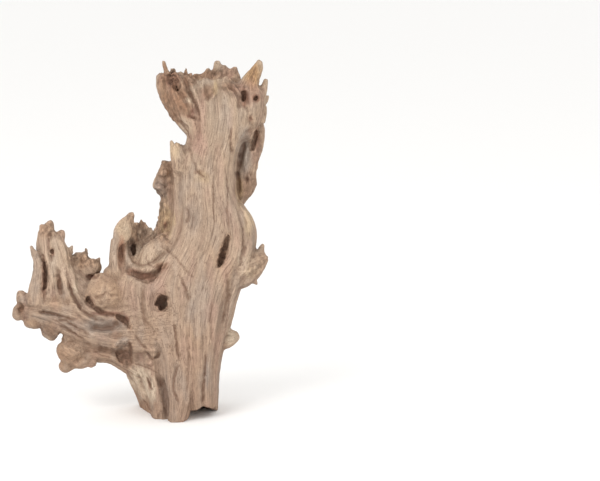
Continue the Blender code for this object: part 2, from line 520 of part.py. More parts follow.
def main_limbs():
    """The limbs of the body, by name."""
    limbs = {}
    stout = {"trunk": TRUNK, "crown": CROWN_RIGHT, "heel": HEEL, "toe": TOE, "sole": SOLE,
             "shoulder": SHOULDER, "ear": EAR}
    for i, (name, rows) in enumerate(stout.items()):
        limbs[name] = Limb(upright(rows), level=True, square=2.9, flute=0.06, seed=10 + i)
    limbs["trunk"].ends = ("torn", "torn")
    torn = {"spur": SPUR, "left shard": LEFT_SHARD, "right shard": RIGHT_SHARD, "prong": PRONG,
            "lobe": LOBE, "back wall": BACK_WALL, "horn": RIGHT_HORN}
    for i, (name, rows) in enumerate(torn.items()):
        limbs[name] = Limb(upright(rows), level=True, square=2.4, flute=0.09, seed=30 + i,
                           ends=("round", "torn"), jag=4.0)
    limbs["branch"] = Limb(BRANCH, square=2.3, flute=0.07, seed=50)
    limbs["saddle"] = Limb(SADDLE, square=2.2, flute=0.09, seed=58)
    limbs["web"] = Limb(WEB, square=2.2, flute=0.09, seed=57)
    limbs["thin shard"] = Limb(THIN_SHARD, square=2.2, flute=0.08, seed=53)
    limbs["plate"] = Limb(PLATE, square=2.6, flute=0.05, seed=54, turn=PLATE_TURN)
    limbs["right knob"] = Limb(RIGHT_KNOB, square=2.2, flute=0.09, seed=55, ends=("round", "torn"), jag=3.0)
    limbs["low knob"] = Limb(LOW_KNOB, square=2.2, flute=0.08, seed=56)
    return limbs


def body_mesh():
    """All limbs, knobs and shards in one mesh, still overlapping."""
    bm = bmesh.new()
    for limb in main_limbs().values():
        limb.add_to(bm)
    for row in KNOBS:
        add_knob(bm, *row)
    for row in SHARDS:
        add_shard(bm, *row)
    return bm


def cavities_mesh():
    """The wide hollows of ear, crown and branch, as solids that overlap the body."""
    bm = bmesh.new()
    for i, rows in enumerate((EAR_CAVITY, LOBE_CAVITY, CROWN_CAVITY, GROTTO)):
        Limb(rows, level=True, square=2.2, flute=0.06, seed=100 + i).add_to(bm)
    return bm


def inserts_mesh():
    """What stands inside the hollows."""
    bm = bmesh.new()
    Limb(EAR_BOWL, square=2.0, flute=0.04, seed=52).add_to(bm)
    Limb(EAR_RIM, square=2.0, flute=0.03, seed=59).add_to(bm)
    Limb(FLAP, square=2.4, flute=0.03, seed=51).add_to(bm)
    for row in EAR_SHARDS:
        add_shard(bm, *row)
    return bm


def holes_mesh():
    """The narrow holes and slits, as solids."""
    bm = bmesh.new()
    for i, (x, u, floor, half_x, half_u) in enumerate(HOLES):
        middle = (HOLE_FRONT + floor) / 2
        rows = [(x, u, HOLE_FRONT, half_x * 1.15, half_u * 1.1), (x, u, middle, half_x, half_u),
                (x, u, floor, half_x * 0.7, half_u * 0.7)]
        Limb(rows, square=2.4, flute=0.2, seed=70 + i).add_to(bm)
    for i, rows in enumerate(SLITS):
        Limb(rows, square=2.0, flute=0.03, seed=90 + i).add_to(bm)
    return bm


def object_of(bm, name, helper=False):
    """A linked object that holds the mesh, in drawing millimetres until it is placed."""
    bmesh.ops.recalc_face_normals(bm, faces=bm.faces)
    mesh = bpy.data.meshes.new(name)
    bm.to_mesh(mesh)
    bm.free()
    obj = bpy.data.objects.new(name, mesh)
    bpy.context.scene.collection.objects.link(obj)
    obj.hide_render = helper
    obj.display_type = "WIRE" if helper else "TEXTURED"
    return obj


def apply_modifiers(obj):
    """Puts the evaluated mesh in place of the object's own and drops the modifiers."""
    bpy.context.view_layer.update()
    graph = bpy.context.evaluated_depsgraph_get()
    mesh = bpy.data.meshes.new_from_object(obj.evaluated_get(graph))
    obj.modifiers.clear()
    obj.data = mesh


def grow(obj, voxel):
    """Grows overlapping shapes into one skin."""
    modifier = obj.modifiers.new("grow", "REMESH")
    modifier.mode = "VOXEL"
    modifier.voxel_size = voxel
    apply_modifiers(obj)


def carve(obj, cutter):
    """Takes the cutter's volume out of the object."""
    modifier = obj.modifiers.new("carve", "BOOLEAN")
    modifier.operation = "DIFFERENCE"
    modifier.solver = "MANIFOLD"
    modifier.object = cutter
    apply_modifiers(obj)


def join(obj, bm):
    """Adds another mesh to the object's, still overlapping."""
    bmesh.ops.recalc_face_normals(bm, faces=bm.faces)
    bm.from_mesh(obj.data)
    bm.to_mesh(obj.data)
    bm.free()


def points_of(mesh):
    """The mesh's vertices as an array."""
    points = np.empty(len(mesh.vertices) * 3)
    mesh.vertices.foreach_get("co", points)
    return points.reshape(-1, 3)


def normals_of(mesh):
    """The mesh's vertex normals as an array."""
    normals = np.empty(len(mesh.vertices) * 3)
    mesh.vertices.foreach_get("normal", normals)
    return normals.reshape(-1, 3)


def put_points(mesh, points):
    """Moves the mesh's vertices."""
    mesh.vertices.foreach_set("co", np.ascontiguousarray(points, float).ravel())
    mesh.update()


def line_distance(points, line):
    """Distance of flat points to a polyline, and the share of the line's length there."""
    best = np.full(len(points), 1e9)
    share = np.zeros(len(points))
    lengths = np.linalg.norm(np.diff(line, axis=0), axis=1)
    start = 0.0
    for a, b, length in zip(line, line[1:], lengths):
        way = (b - a) / length
        t = np.clip((points - a) @ way, 0, length)
        off = points - a - t[:, None] * way
        distance = np.linalg.norm(off, axis=1)
        nearer = distance < best
        best[nearer] = distance[nearer]
        share[nearer] = ((start + t) / lengths.sum())[nearer]
        start += length
    return best, share


def mark_heights(flat):
    """How far each flat point of the front is pushed by the marks and spots."""
    height = np.zeros(len(flat))
    for how, width, amount, line in MARKS:
        line = from_sheet(line)
        near = np.all((flat > line.min(axis=0) - width * 2) & (flat < line.max(axis=0) + width * 2), axis=1)
        if not near.any():
            continue
        distance, share = line_distance(flat[near], line)
        profile = np.clip(1 - distance / width, 0, 1)
        profile = profile * profile * (3 - 2 * profile)
        fade = np.clip(np.minimum(share, 1 - share) * END_GAIN + END_BASE, 0, 1)
        height[near] += math.copysign(amount, how) * profile * fade
    for x, y, half_x, half_u, amount in SPOTS:
        centre = from_sheet([(x, y)])[0]
        radius = np.hypot((flat[:, 0] - centre[0]) / half_x, (flat[:, 1] - centre[1]) / half_u)
        height += amount * np.clip(1 - radius ** 2, 0, 1) ** 2
    return height


def press_marks(mesh):
    """Pushes the marks into the surface that faces the viewer."""
    points, normals = points_of(mesh), normals_of(mesh)
    facing = np.clip(-normals[:, 1] * FACING_GAIN + FACING_BASE, 0, 1)
    height = mark_heights(points[:, [0, 2]]) * facing
    put_points(mesh, points + normals * height[:, None])


def flute(mesh, limbs):
    """Raises the flutes that run along the fibres of each limb, with sharp valleys between them."""
    points, normals = points_of(mesh), normals_of(mesh)
    noises = [Grain(5), Grain(8)]
    total, weights = np.zeros(len(points)), np.full(len(points), 1e-9)
    for number, (name, limb) in enumerate(limbs.items()):
        out, across, through, along = limb.fibres(points)
        weight = np.exp(-out / FIBRE_REACH)
        near = weight > LEAST_WEIGHT
        place = np.column_stack((across, through, along))[near] + number * LIMB_SHIFT
        for noise, (size, crest, valley) in zip(noises, FLUTES):
            push = crest * np.abs(noise(place / size)) ** FLUTE_SHARPNESS - valley
            total[near] += push * weight[near] * SMOOTHED.get(name, 1.0)
        weights[near] += weight[near]
    put_points(mesh, points + normals * (total / weights)[:, None])


def thin_out(obj):
    """Brings the mesh down to the triangles it may have, keeping most where the shape turns most."""
    obj.data.calc_loop_triangles()
    modifier = obj.modifiers.new("thin", "DECIMATE")
    modifier.ratio = MOST_TRIANGLES / len(obj.data.loop_triangles)
    apply_modifiers(obj)


def stand(obj):
    """Cuts the foot flat on the floor."""
    points = points_of(obj.data)
    points[np.abs(points[:, 2]) < SNAP, 2] = 0.0
    put_points(obj.data, points)
    bm = bmesh.new()
    bm.from_mesh(obj.data)
    geometry = bm.verts[:] + bm.edges[:] + bm.faces[:]
    bmesh.ops.bisect_plane(bm, geom=geometry, dist=1e-6, plane_co=(0, 0, 0), plane_no=(0, 0, -1),
                           clear_outer=True)
    rim = [edge for edge in bm.edges if edge.is_boundary]
    bmesh.ops.triangle_fill(bm, use_beauty=True, edges=rim, normal=(0, 0, -1))
    bmesh.ops.triangulate(bm, faces=bm.faces[:])
    bmesh.ops.recalc_face_normals(bm, faces=bm.faces[:])
    bm.to_mesh(obj.data)
    bm.free()


def weathered_wood():
    """Dry, sun-bleached wood."""
    material = bpy.data.materials.new("weathered driftwood")
    material.use_nodes = True
    shader = material.node_tree.nodes["Principled BSDF"]
    shader.inputs["Base Color"].default_value = WOOD_COLOUR
    shader.inputs["Roughness"].default_value = WOOD_ROUGHNESS
    return material


def main():
    for obj in list(bpy.data.objects):
        bpy.data.objects.remove(obj)
    wood = object_of(body_mesh(), "kayika_wood")
    grow(wood, GROW_VOXEL)
    cavities = object_of(cavities_mesh(), "cavities", helper=True)
    grow(cavities, HOLLOW_VOXEL)
    carve(wood, cavities)
    join(wood, inserts_mesh())
    grow(wood, GROW_VOXEL)
    holes = object_of(holes_mesh(), "holes", helper=True)
    grow(holes, HOLE_VOXEL)
    carve(wood, holes)
    grow(wood, GROW_VOXEL)
    flute(wood.data, main_limbs())
    press_marks(wood.data)
    grow(wood, GROW_VOXEL)
    put_points(wood.data, from_drawing(points_of(wood.data)))
    thin_out(wood)
    stand(wood)
    wood.data.materials.clear()
    wood.data.materials.append(weathered_wood())
    for helper in (cavities, holes):
        bpy.data.objects.remove(helper)


main()
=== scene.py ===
"""Weathered driftwood stump, dressed for the render.

The stump is drawn limb by limb on an upright plane through its trunk, in millimetres, as someone standing
in front of it sees it. Limbs, knobs and splinters are grown into one skin, the hollows are cut, and the
fibres' ridges, cracks and pits are pressed into the surface. Every point keeps its place along the fibres of
the limbs nearest to it, and the finish draws its grain there.
"""

from __future__ import annotations

import logging
import math
from dataclasses import dataclass, field
from enum import Enum
from typing import Any, Iterable

import bmesh
import bpy
import numpy as np
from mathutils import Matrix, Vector


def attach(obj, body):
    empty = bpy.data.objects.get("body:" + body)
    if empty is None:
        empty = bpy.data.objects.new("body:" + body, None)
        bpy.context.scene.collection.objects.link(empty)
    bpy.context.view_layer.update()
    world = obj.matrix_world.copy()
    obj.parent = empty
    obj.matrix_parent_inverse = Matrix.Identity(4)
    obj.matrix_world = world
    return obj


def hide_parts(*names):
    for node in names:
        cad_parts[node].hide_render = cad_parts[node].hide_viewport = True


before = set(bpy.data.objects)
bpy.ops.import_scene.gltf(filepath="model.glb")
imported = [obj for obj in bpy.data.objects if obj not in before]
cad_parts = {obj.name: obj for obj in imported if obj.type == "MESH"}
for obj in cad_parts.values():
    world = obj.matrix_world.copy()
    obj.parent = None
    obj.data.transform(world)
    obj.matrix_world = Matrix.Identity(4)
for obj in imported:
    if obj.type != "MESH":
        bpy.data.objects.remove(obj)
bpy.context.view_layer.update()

log = logging.getLogger("driftwood")

MM = 0.001
NODE = "kayika_wood"
BODY = "root"
LIMB_SHIFT = 41.7
BLADE_POWER = 1.4
BLADE_STEPS = (0.0, 0.35, 0.65, 0.88, 1.0)

Row = tuple[float, ...]
Rows = tuple[Row, ...]


class End(Enum):
    """How a limb ends."""

    ROUND = "round"
    TORN = "torn"


class Tone(Enum):
    """The colours that old driftwood takes, as sRGB hex, with three dark browns that also serve as painted
    shade.
    """

    HEART = "#a28b77"
    LOW = "#9a806c"
    HIGH = "#a6917c"
    TAN = "#a38468"
    STRAW = "#ae9470"
    PALE = "#c4b19b"
    CREAM = "#cdb491"
    PINK = "#a28172"
    GREY = "#83766c"
    SILVER = "#988d83"
    OCHRE = "#a27c55"
    UMBER = "#80614c"
    # Painted shade: only laid as the brown shadow beside the ear's flap.
    BROWN_SHADE = "#8d614a"
    # Reddish rot, and painted shade in holes, slits, nooks and shadow lines.
    ROT = "#6b4537"
    # Painted shade: the darkest holes, pits and crack lines.
    DEEP_SHADE = "#4d352b"


def linear(hex_colour: str) -> np.ndarray:
    """Turns an sRGB hex colour into linear light.

    Args:
        hex_colour: The colour, such as "#bca38d".

    Returns:
        Red, green and blue between 0 and 1.
    """
    parts = np.array([int(hex_colour[i:i + 2], 16) / 255 for i in (1, 3, 5)])
    return np.where(parts <= 0.04045, parts / 12.92, ((parts + 0.055) / 1.055) ** 2.4)


@dataclass(frozen=True)
class Sight:
    """The viewer whom the drawing is made for, and the sheet that marks are drawn on."""

    eye: tuple[float, float, float] = (183.0, -3704.0, 865.0)
    look_down: float = math.radians(9.0)
    floor: float = 11.5
    origin: tuple[float, float] = (-4.0, 12.0)
    sheet_unit: float = 1.5
    sheet_left: float = 178.0
    sheet_top: float = 424.0

    def place(self, points: np.ndarray) -> np.ndarray:
        """Puts drawn points in the world.

        Args:
            points: Across, depth and height of each point, in millimetres.

        Returns:
            The points in metres.
        """
        across, depth, height = points[:, 0], points[:, 1], points[:, 2] / math.cos(self.look_down)
        nearer = depth / self.eye[1]
        x = across + nearer * (self.eye[0] - across)
        z = height + nearer * (self.eye[2] - height)
        return np.column_stack((x - self.origin[0], depth - self.origin[1], z - self.floor)) * MM

    def draw(self, points: np.ndarray) -> np.ndarray:
        """Puts points of the world back on the drawing.

        Args:
            points: The points in metres.

        Returns:
            Across, depth and height of each point, in millimetres.
        """
        x, y, z = (points / MM).T
        x, depth, z = x + self.origin[0], y + self.origin[1], z + self.floor
        nearer = depth / self.eye[1]
        across = (x - nearer * self.eye[0]) / (1 - nearer)
        height = (z - nearer * self.eye[2]) / (1 - nearer)
        return np.column_stack((across, depth, height * math.cos(self.look_down)))

    def from_sheet(self, line: Iterable[tuple[float, float]]) -> np.ndarray:
        """Across and height, in millimetres, of points of the sheet."""
        points = np.array(list(line), float)
        across = (points[:, 0] - self.sheet_left) * self.sheet_unit
        return np.column_stack((across, (self.sheet_top - points[:, 1]) * self.sheet_unit))


SIGHT = Sight()


class Noise:
    """Smooth seeded noise in space, between -1 and 1."""

    gain = 1.6

    def __init__(self, seed: int) -> None:
        """Shuffles the slopes.

        Args:
            seed: Which noise this is.
        """
        random = np.random.default_rng(seed)
        self.order = np.tile(random.permutation(256), 3)
        slopes = random.normal(size=(256, 3))
        self.slopes = slopes / np.linalg.norm(slopes, axis=1)[:, None]

    def __call__(self, points: np.ndarray) -> np.ndarray:
        """Reads the noise.

        Args:
            points: Places, in cells of the noise.

        Returns:
            One value for each place.
        """
        cell = np.floor(points).astype(int)
        part = points - cell
        blend = part * part * part * (part * (part * 6 - 15) + 10)
        total = np.zeros(len(points))
        for i in (0, 1):
            for j in (0, 1):
                for k in (0, 1):
                    corner = (cell + (i, j, k)) & 255
                    pick = self.order[self.order[self.order[corner[:, 0]] + corner[:, 1]] + corner[:, 2]]
                    slope = np.einsum("ij,ij->i", self.slopes[pick], part - (i, j, k))
                    total += slope * np.abs(np.prod(1 - np.array((i, j, k)) - blend, axis=1))
        return total * self.gain


@dataclass(frozen=True)
class Skin:
    """How a tube of wood is laid round the rows of a limb."""

    level: bool = True
    square: float = 2.9
    wobble: float = 0.06
    ends: tuple[End, End] = (End.ROUND, End.ROUND)
    jag: float = 6.0
    turn: Row = ()


STOUT = Skin()
BROKEN = Skin(ends=(End.TORN, End.TORN))
SPLIT = Skin(square=2.4, wobble=0.09, ends=(End.ROUND, End.TORN), jag=4.0)
LEAN = Skin(level=False, square=2.2, wobble=0.09)


def upright(rows: Rows) -> Rows:
    """Rows of height, left, right, front and back as rows of a leaning limb."""
    return tuple(((a + b) / 2, height, (front + back) / 2, (b - a) / 2, (back - front) / 2)
                 for height, a, b, front, back in rows)


class Limb:
    """A closed tube of wood whose rings follow the rows of a drawn line."""

    ring_step = 5.0
    ring_points = 44
    ring_ease = 2
    fibre_ease = 60
    wave_counts = (3, 5, 7, 11)
    wave_turn = 6.28
    wave_drift = 0.008
    towards_viewer = 0.97
    points_at_once = 20000
    torn_ring = 0.62
    torn_middle = 0.2
    round_reach = 0.5
    round_steps = (0.0, 0.6, 1.1, 1.4)

    def __init__(self, rows: Rows, seed: int, skin: Skin = STOUT) -> None:
        """Lays out the rings' middles and directions.

        Args:
            rows: Across, height, depth, half width and half depth, from end to end, in millimetres.
            seed: Which wobble the skin has.
            skin: How the tube is laid.
        """
        self.skin = skin
        self.path = self.resampled(rows)
        self.random = np.random.default_rng(seed)
        self.waves = [(count, self.random.uniform(0, self.wave_turn),
                       self.random.uniform(-self.wave_drift, self.wave_drift))
                      for count in self.wave_counts]
        self.centres = self.path[:, [0, 2, 1]]
        self.eased = self.path.copy()
        for _ in range(self.fibre_ease):
            self.eased[1:-1] = (self.eased[:-2] + 2 * self.eased[1:-1] + self.eased[2:]) / 4
        self.tangents = np.gradient(self.centres, axis=0)
        if skin.level:
            up = math.copysign(1.0, self.centres[-1, 2] - self.centres[0, 2])
            self.tangents = np.tile((0.0, 0.0, up), (len(self.path), 1))
        self.tangents /= np.linalg.norm(self.tangents, axis=1)[:, None]
        sides = np.cross((0.0, 1.0, 0.0), self.tangents)
        sides /= np.maximum(np.linalg.norm(sides, axis=1), 1e-6)[:, None]
        sides[np.abs(self.tangents[:, 1]) > self.towards_viewer] = (1.0, 0.0, 0.0)
        deeps = np.cross(self.tangents, sides)
        angle = np.zeros(len(self.path))
        if skin.turn:
            place = np.linspace(0, len(skin.turn) - 1, len(self.path))
            angle = np.radians(np.interp(place, range(len(skin.turn)), skin.turn))
        cosine, sine = np.cos(angle)[:, None], np.sin(angle)[:, None]
        self.sides = sides * cosine + deeps * sine
        self.deeps = deeps * cosine - sides * sine

    def resampled(self, rows: Rows) -> np.ndarray:
        """The rows with more between them, softened so that no row leaves a corner."""
        drawn = np.array(rows, float)
        lengths = np.linalg.norm(np.diff(drawn[:, :3], axis=0), axis=1)
        along = np.concatenate(([0.0], np.cumsum(lengths)))
        count = max(4, int(along[-1] / self.ring_step) + 1)
        wanted = np.linspace(0.0, along[-1], count)
        fine = np.column_stack([np.interp(wanted, along, column) for column in drawn.T])
        for _ in range(self.ring_ease):
            fine[1:-1] = (fine[:-2] + 2 * fine[1:-1] + fine[2:]) / 4
        return fine

    def rings(self) -> list[np.ndarray]:
        """The rings of points from end to end, with those that close the tube."""
        angle = np.linspace(0, 2 * math.pi, self.ring_points, endpoint=False)
        power = 2.0 / self.skin.square
        out_x = np.sign(np.cos(angle)) * np.abs(np.cos(angle)) ** power
        out_y = np.sign(np.sin(angle)) * np.abs(np.sin(angle)) ** power
        made = []
        for row, centre, side, deep in zip(self.path, self.centres, self.sides, self.deeps):
            swell = 1 + self.skin.wobble * sum(np.cos(n * angle + phase + drift * centre[2]) / 2
                                               for n, phase, drift in self.waves)
            across = np.outer(out_x * row[3] * swell, side)
            made.append(centre + across + np.outer(out_y * row[4] * swell, deep))
        first = self.closing(made[0], -self.tangents[0], min(self.path[0, 3:5]), self.skin.ends[0])
        last = self.closing(made[-1], self.tangents[-1], min(self.path[-1, 3:5]), self.skin.ends[1])
        return first[::-1] + made[1:-1] + last

    def closing(self, ring: np.ndarray, outward: np.ndarray, thickness: float, end: End) -> list[np.ndarray]:
        """Closes one end of the tube.

        Args:
            ring: The last ring.
            outward: The way out of the limb there.
            thickness: Half the limb's smaller width there.
            end: How the limb ends.

        Returns:
            The last ring and those that close it.
        """
        middle = ring.mean(axis=0)
        if end is End.TORN:
            jag = self.skin.jag
            teeth = self.random.uniform(-jag, jag, len(ring))[:, None] * outward
            sunk = self.random.uniform(-jag, 0.0, len(ring))[:, None] * outward
            inner = middle + (ring - middle) * self.torn_ring + sunk
            return [ring + teeth, inner, middle + (ring - middle) * self.torn_middle - outward * jag]
        reach = self.round_reach * thickness
        return [middle + (ring - middle) * math.cos(t) + outward * reach * math.sin(t)
                for t in self.round_steps]

    def add_to(self, bm: bmesh.types.BMesh) -> None:
        """Adds the tube to a mesh."""
        made = [[bm.verts.new(point) for point in ring] for ring in self.rings()]
        count = len(made[0])
        for below, above in zip(made, made[1:]):
            for i in range(count):
                j = (i + 1) % count
                bm.faces.new((below[i], below[j], above[j], above[i]))
        for ring, flip in ((made[0], True), (made[-1], False)):
            centre = bm.verts.new(sum((v.co for v in ring), Vector()) / count)
            for i in range(count):
                pair = (ring[i], ring[(i + 1) % count])
                bm.faces.new((pair[1], pair[0], centre) if flip else (pair[0], pair[1], centre))

    def nearest(self, points: np.ndarray) -> np.ndarray:
        """The number of the ring whose middle is nearest to each point."""
        found = np.empty(len(points), int)
        for start in range(0, len(points), self.points_at_once):
            end = start + self.points_at_once
            distances = ((points[start:end, None, :] - self.centres[None]) ** 2).sum(axis=2)
            found[start:end] = np.argmin(distances, axis=1)
        return found

    def fibres(self, points: np.ndarray) -> tuple[np.ndarray, np.ndarray]:
        """Says where points lie on the limb.

        Args:
            points: Drawn points, in millimetres.

        Returns:
            Each point's distance out of the limb, and its place across, through and along the fibres.
        """
        if self.skin.level:
            low, high = sorted((self.centres[0, 2], self.centres[-1, 2]))
            beyond = np.maximum(0.0, np.maximum(low - points[:, 2], points[:, 2] - high))
            order = np.argsort(self.centres[:, 2])
            keys, spot, along = self.centres[order, 2], points[:, 2], points[:, 2]
        else:
            order = np.arange(len(self.path))
            nearest = self.nearest(points)
            steps = np.linalg.norm(np.diff(self.centres, axis=0), axis=1)
            keys = np.concatenate(([0.0], np.cumsum(steps)))
            offset = points - self.centres[nearest]
            along = keys[nearest] + np.einsum("ij,ij->i", offset, self.tangents[nearest])
            beyond = np.maximum(0.0, np.maximum(-along, along - keys[-1]))
            spot = along
        at = [np.interp(spot, keys, column[order]) for column in
              (*self.centres.T, *self.sides.T, *self.deeps.T, *self.path[:, 3:5].T)]
        offset = points - np.column_stack(at[0:3])
        side, deep = np.column_stack(at[3:6]), np.column_stack(at[6:9])
        across = np.einsum("ij,ij->i", offset, side) / np.maximum(at[9], 1.0)
        through = np.einsum("ij,ij->i", offset, deep) / np.maximum(at[10], 1.0)
        power = self.skin.square
        radius = (np.abs(across) ** power + np.abs(through) ** power) ** (1 / power)
        out = np.maximum(0.0, radius - 1) * np.minimum(at[9], at[10]) + beyond
        if self.skin.level:
            x, _, y, half_x, half_y = (np.interp(spot, keys, column[order]) for column in self.eased.T)
            across, through = (points[:, 0] - x) / half_x, (points[:, 1] - y) / half_y
        place = np.column_stack((across * self.path[:, 3].mean(), through * self.path[:, 4].mean(), along))
        return out, place


def shard(foot: Row, tip: Row, half_width: float, half_depth: float, blunt: float = 0.36) -> Limb:
    """A blade of torn wood that narrows to its tip, the more the less blunt it is."""
    start, end = np.array(foot, float), np.array(tip, float)
    rows = []
    for share in BLADE_STEPS:
        x, u, y = start + (end - start) * share
        width = 1 - (1 - blunt) * share ** BLADE_POWER
        rows.append((x, u, y, half_width * width, half_depth * width))
    skin = Skin(level=False, square=2.0, wobble=0.08)
    return Limb(tuple(rows), int(abs(foot[0]) + foot[1]), skin)


@dataclass
class Trunk:
    """The trunk with its foot, the shards at its sides and the plate over the foot's left."""

    trunk: Rows = (
        (20, -4, 57, -40, 62), (36, -12, 58, -42, 62), (66, -22, 59, -42, 60), (96, -32, 63, -41, 58),
        (118, -42, 69, -41, 56), (141, -54, 76, -41, 54), (163, -63, 82, -40, 52),
        (186, -66, 88, -42, 50), (208, -63, 96, -42, 48), (228, -54, 104, -41, 46),
        (246, -39, 113, -40, 44), (268, -20, 118, -38, 42), (291, -9, 119, -37, 41),
        (313, -6, 111, -36, 40), (325, -5, 101, -36, 40), (343, -4, 89, -36, 39), (366, -4, 88, -35, 38),
        (388, -6, 89, -34, 37), (404, 2, 91, -33, 37), (418, 14, 95, -32, 37), (434, 17, 103, -31, 37),
        (448, 16, 108, -30, 38), (464, 15, 110, -28, 39), (478, 16, 108, -26, 40),
        (494, 17, 100, -24, 41), (508, 18, 90, -21, 42), (514, 22, 80, -19, 42),
    )
    crown_right: Rows = (
        (430, 70, 112, -20, 38), (448, 80, 122, -18, 38), (464, 84, 127, -16, 38),
        (480, 84, 130, -14, 36), (494, 84, 128, -10, 34), (504, 84, 122, -6, 32),
    )
    heel: Rows = (
        (0, -52, 50, 50, 84), (30, -52, 54, 40, 82), (70, -46, 56, 22, 76), (120, -40, 60, 10, 66),
        (170, -40, 70, 0, 54),
    )
    sole: Rows = (
        (0, -46, 12, -36, 82), (30, -48, 15, -38, 80), (70, -50, 20, -36, 76), (110, -56, 24, -34, 66),
    )
    toe: Rows = (
        (0, -20, 11, -57, 0), (10, -22, 15, -57, 0), (18, -21, 16, -55, 4), (28, -22, 20, -54, 5),
        (45, -23, 22, -51, 6), (66, -25, 24, -48, 6), (96, -28, 24, -44, 6), (120, -32, 24, -38, 6),
    )
    shoulder: Rows = (
        (110, -84, 0, -26, 40), (140, -100, 0, -32, 42), (170, -112, 0, -36, 44), (192, -116, 0, -39, 44),
        (206, -114, 0, -39, 42), (216, -106, -4, -37, 40), (222, -98, -14, -32, 38),
    )
    spur: Rows = (
        (380, -6, 18, -31, 8), (400, -9, 16, -29, 6), (412, -11, 12, -26, 4), (420, -6, 4, -23, 0),
    )
    left_shard: Rows = (
        (255, -48, 0, -10, 34), (276, -43, 0, -4, 34), (293, -38, 0, 0, 34), (308, -37, 0, 2, 34),
        (324, -33, 0, 4, 34), (338, -32, 0, 4, 34), (350, -36, 0, 4, 33), (362, -38, 0, 5, 32),
        (372, -31, 0, 6, 30), (384, -26, -2, 8, 28), (395, -23, -5, 10, 26),
    )
    right_shard: Rows = (
        (322, 88, 94, 14, 30), (329, 86, 99, 8, 34), (339, 84, 107, 6, 37), (351, 82, 114, 5, 39),
        (362, 82, 120, 6, 39), (374, 82, 114, 8, 39), (396, 82, 121, 9, 39), (411, 84, 127, 10, 38),
        (426, 92, 129, 13, 36), (438, 104, 130, 18, 34), (450, 118, 129, 23, 31),
    )
    plate: Rows = (
        (-54, 114, 0, 38, 18), (-57, 92, 4, 42, 16), (-53, 74, 8, 45, 15), (-48, 56, 12, 48, 14),
        (-42, 38, 18, 50, 13), (-38, 20, 22, 51, 13), (-36, -8, 25, 52, 13),
    )
    right_knob: Rows = (
        (76, 238, 2, 36, 34), (94, 237, 2, 34, 30), (105, 239, 1, 28, 25), (113, 242, 0, 22, 18),
        (121, 247, -1, 17, 14), (128, 251, -2, 13, 10), (133, 253, -2, 8, 7),
    )
    low_knob: Rows = (
        (58, 126, 8, 19, 16), (72, 127, 9, 17, 14), (82, 129, 9, 13, 11), (88, 131, 9, 8, 8),
    )
    plate_turn: Row = (45, 55, 62, 68, 72, 74, 75)

    def limbs(self) -> dict[str, Limb]:
        """The trunk's limbs, by name."""
        stout = {"crown": (self.crown_right, 11), "heel": (self.heel, 12), "toe": (self.toe, 13),
                 "sole": (self.sole, 14), "shoulder": (self.shoulder, 15)}
        torn = {"spur": (self.spur, 30), "left shard": (self.left_shard, 31),
                "right shard": (self.right_shard, 32)}
        made = {"trunk": Limb(upright(self.trunk), 10, BROKEN)}
        made |= {name: Limb(upright(rows), seed) for name, (rows, seed) in stout.items()}
        made |= {name: Limb(upright(rows), seed, SPLIT) for name, (rows, seed) in torn.items()}
        plate = Skin(level=False, square=2.6, wobble=0.05, turn=self.plate_turn)
        made["plate"] = Limb(self.plate, 54, plate)
        knob = Skin(level=False, square=2.2, wobble=0.09, ends=(End.ROUND, End.TORN), jag=3.0)
        made["right knob"] = Limb(self.right_knob, 55, knob)
        made["low knob"] = Limb(self.low_knob, 56, Skin(level=False, square=2.2, wobble=0.08))
        return made


@dataclass
class Branch:
    """The forked side branch: its prong, the web below it and the saddle that joins it to the burl."""

    branch: Rows = (
        (-6, 152, 2, 50, 38), (-42, 148, 0, 56, 37), (-72, 146, -3, 53, 35), (-102, 144, -6, 45, 32),
        (-132, 148, -8, 39, 30), (-162, 158, -9, 34, 27), (-192, 166, -9, 28, 24),
        (-214, 171, -9, 23, 20), (-232, 173, -9, 14, 13),
    )
    web: Rows = (
        (-142, 105, -2, 14, 16), (-124, 110, 2, 20, 20), (-100, 109, 6, 20, 24), (-72, 96, 10, 24, 26),
        (-40, 82, 12, 30, 28),
    )
    prong: Rows = (
        (165, -212, -122, -26, 16), (185, -209, -134, -30, 10), (200, -206, -143, -31, 7),
        (215, -206, -150, -31, 5), (231, -206, -155, -30, 3), (253, -209, -160, -29, 2),
        (268, -212, -166, -28, 1), (279, -211, -171, -27, 0), (288, -208, -178, -26, -2),
    )
    thin_shard: Rows = (
        (-221, 267, -20, 3, 3.4), (-216, 256, -22, 6.5, 5), (-210, 238, -24, 8, 6),
        (-212, 218, -24, 10, 8), (-214, 200, -22, 13, 11), (-215, 182, -18, 15, 14),
    )
    saddle: Rows = (
        (-178, 232, -10, 16, 16), (-160, 212, -10, 18, 17), (-142, 196, -10, 20, 18),
        (-120, 180, -10, 22, 20),
    )

    def limbs(self) -> dict[str, Limb]:
        """The branch's limbs, by name."""
        thin = Skin(level=False, square=2.2, wobble=0.08)
        return {"prong": Limb(upright(self.prong), 33, SPLIT),
                "branch": Limb(self.branch, 50, Skin(level=False, square=2.3, wobble=0.07)),
                "saddle": Limb(self.saddle, 58, LEAN), "web": Limb(self.web, 57, LEAN),
                "thin shard": Limb(self.thin_shard, 53, thin)}


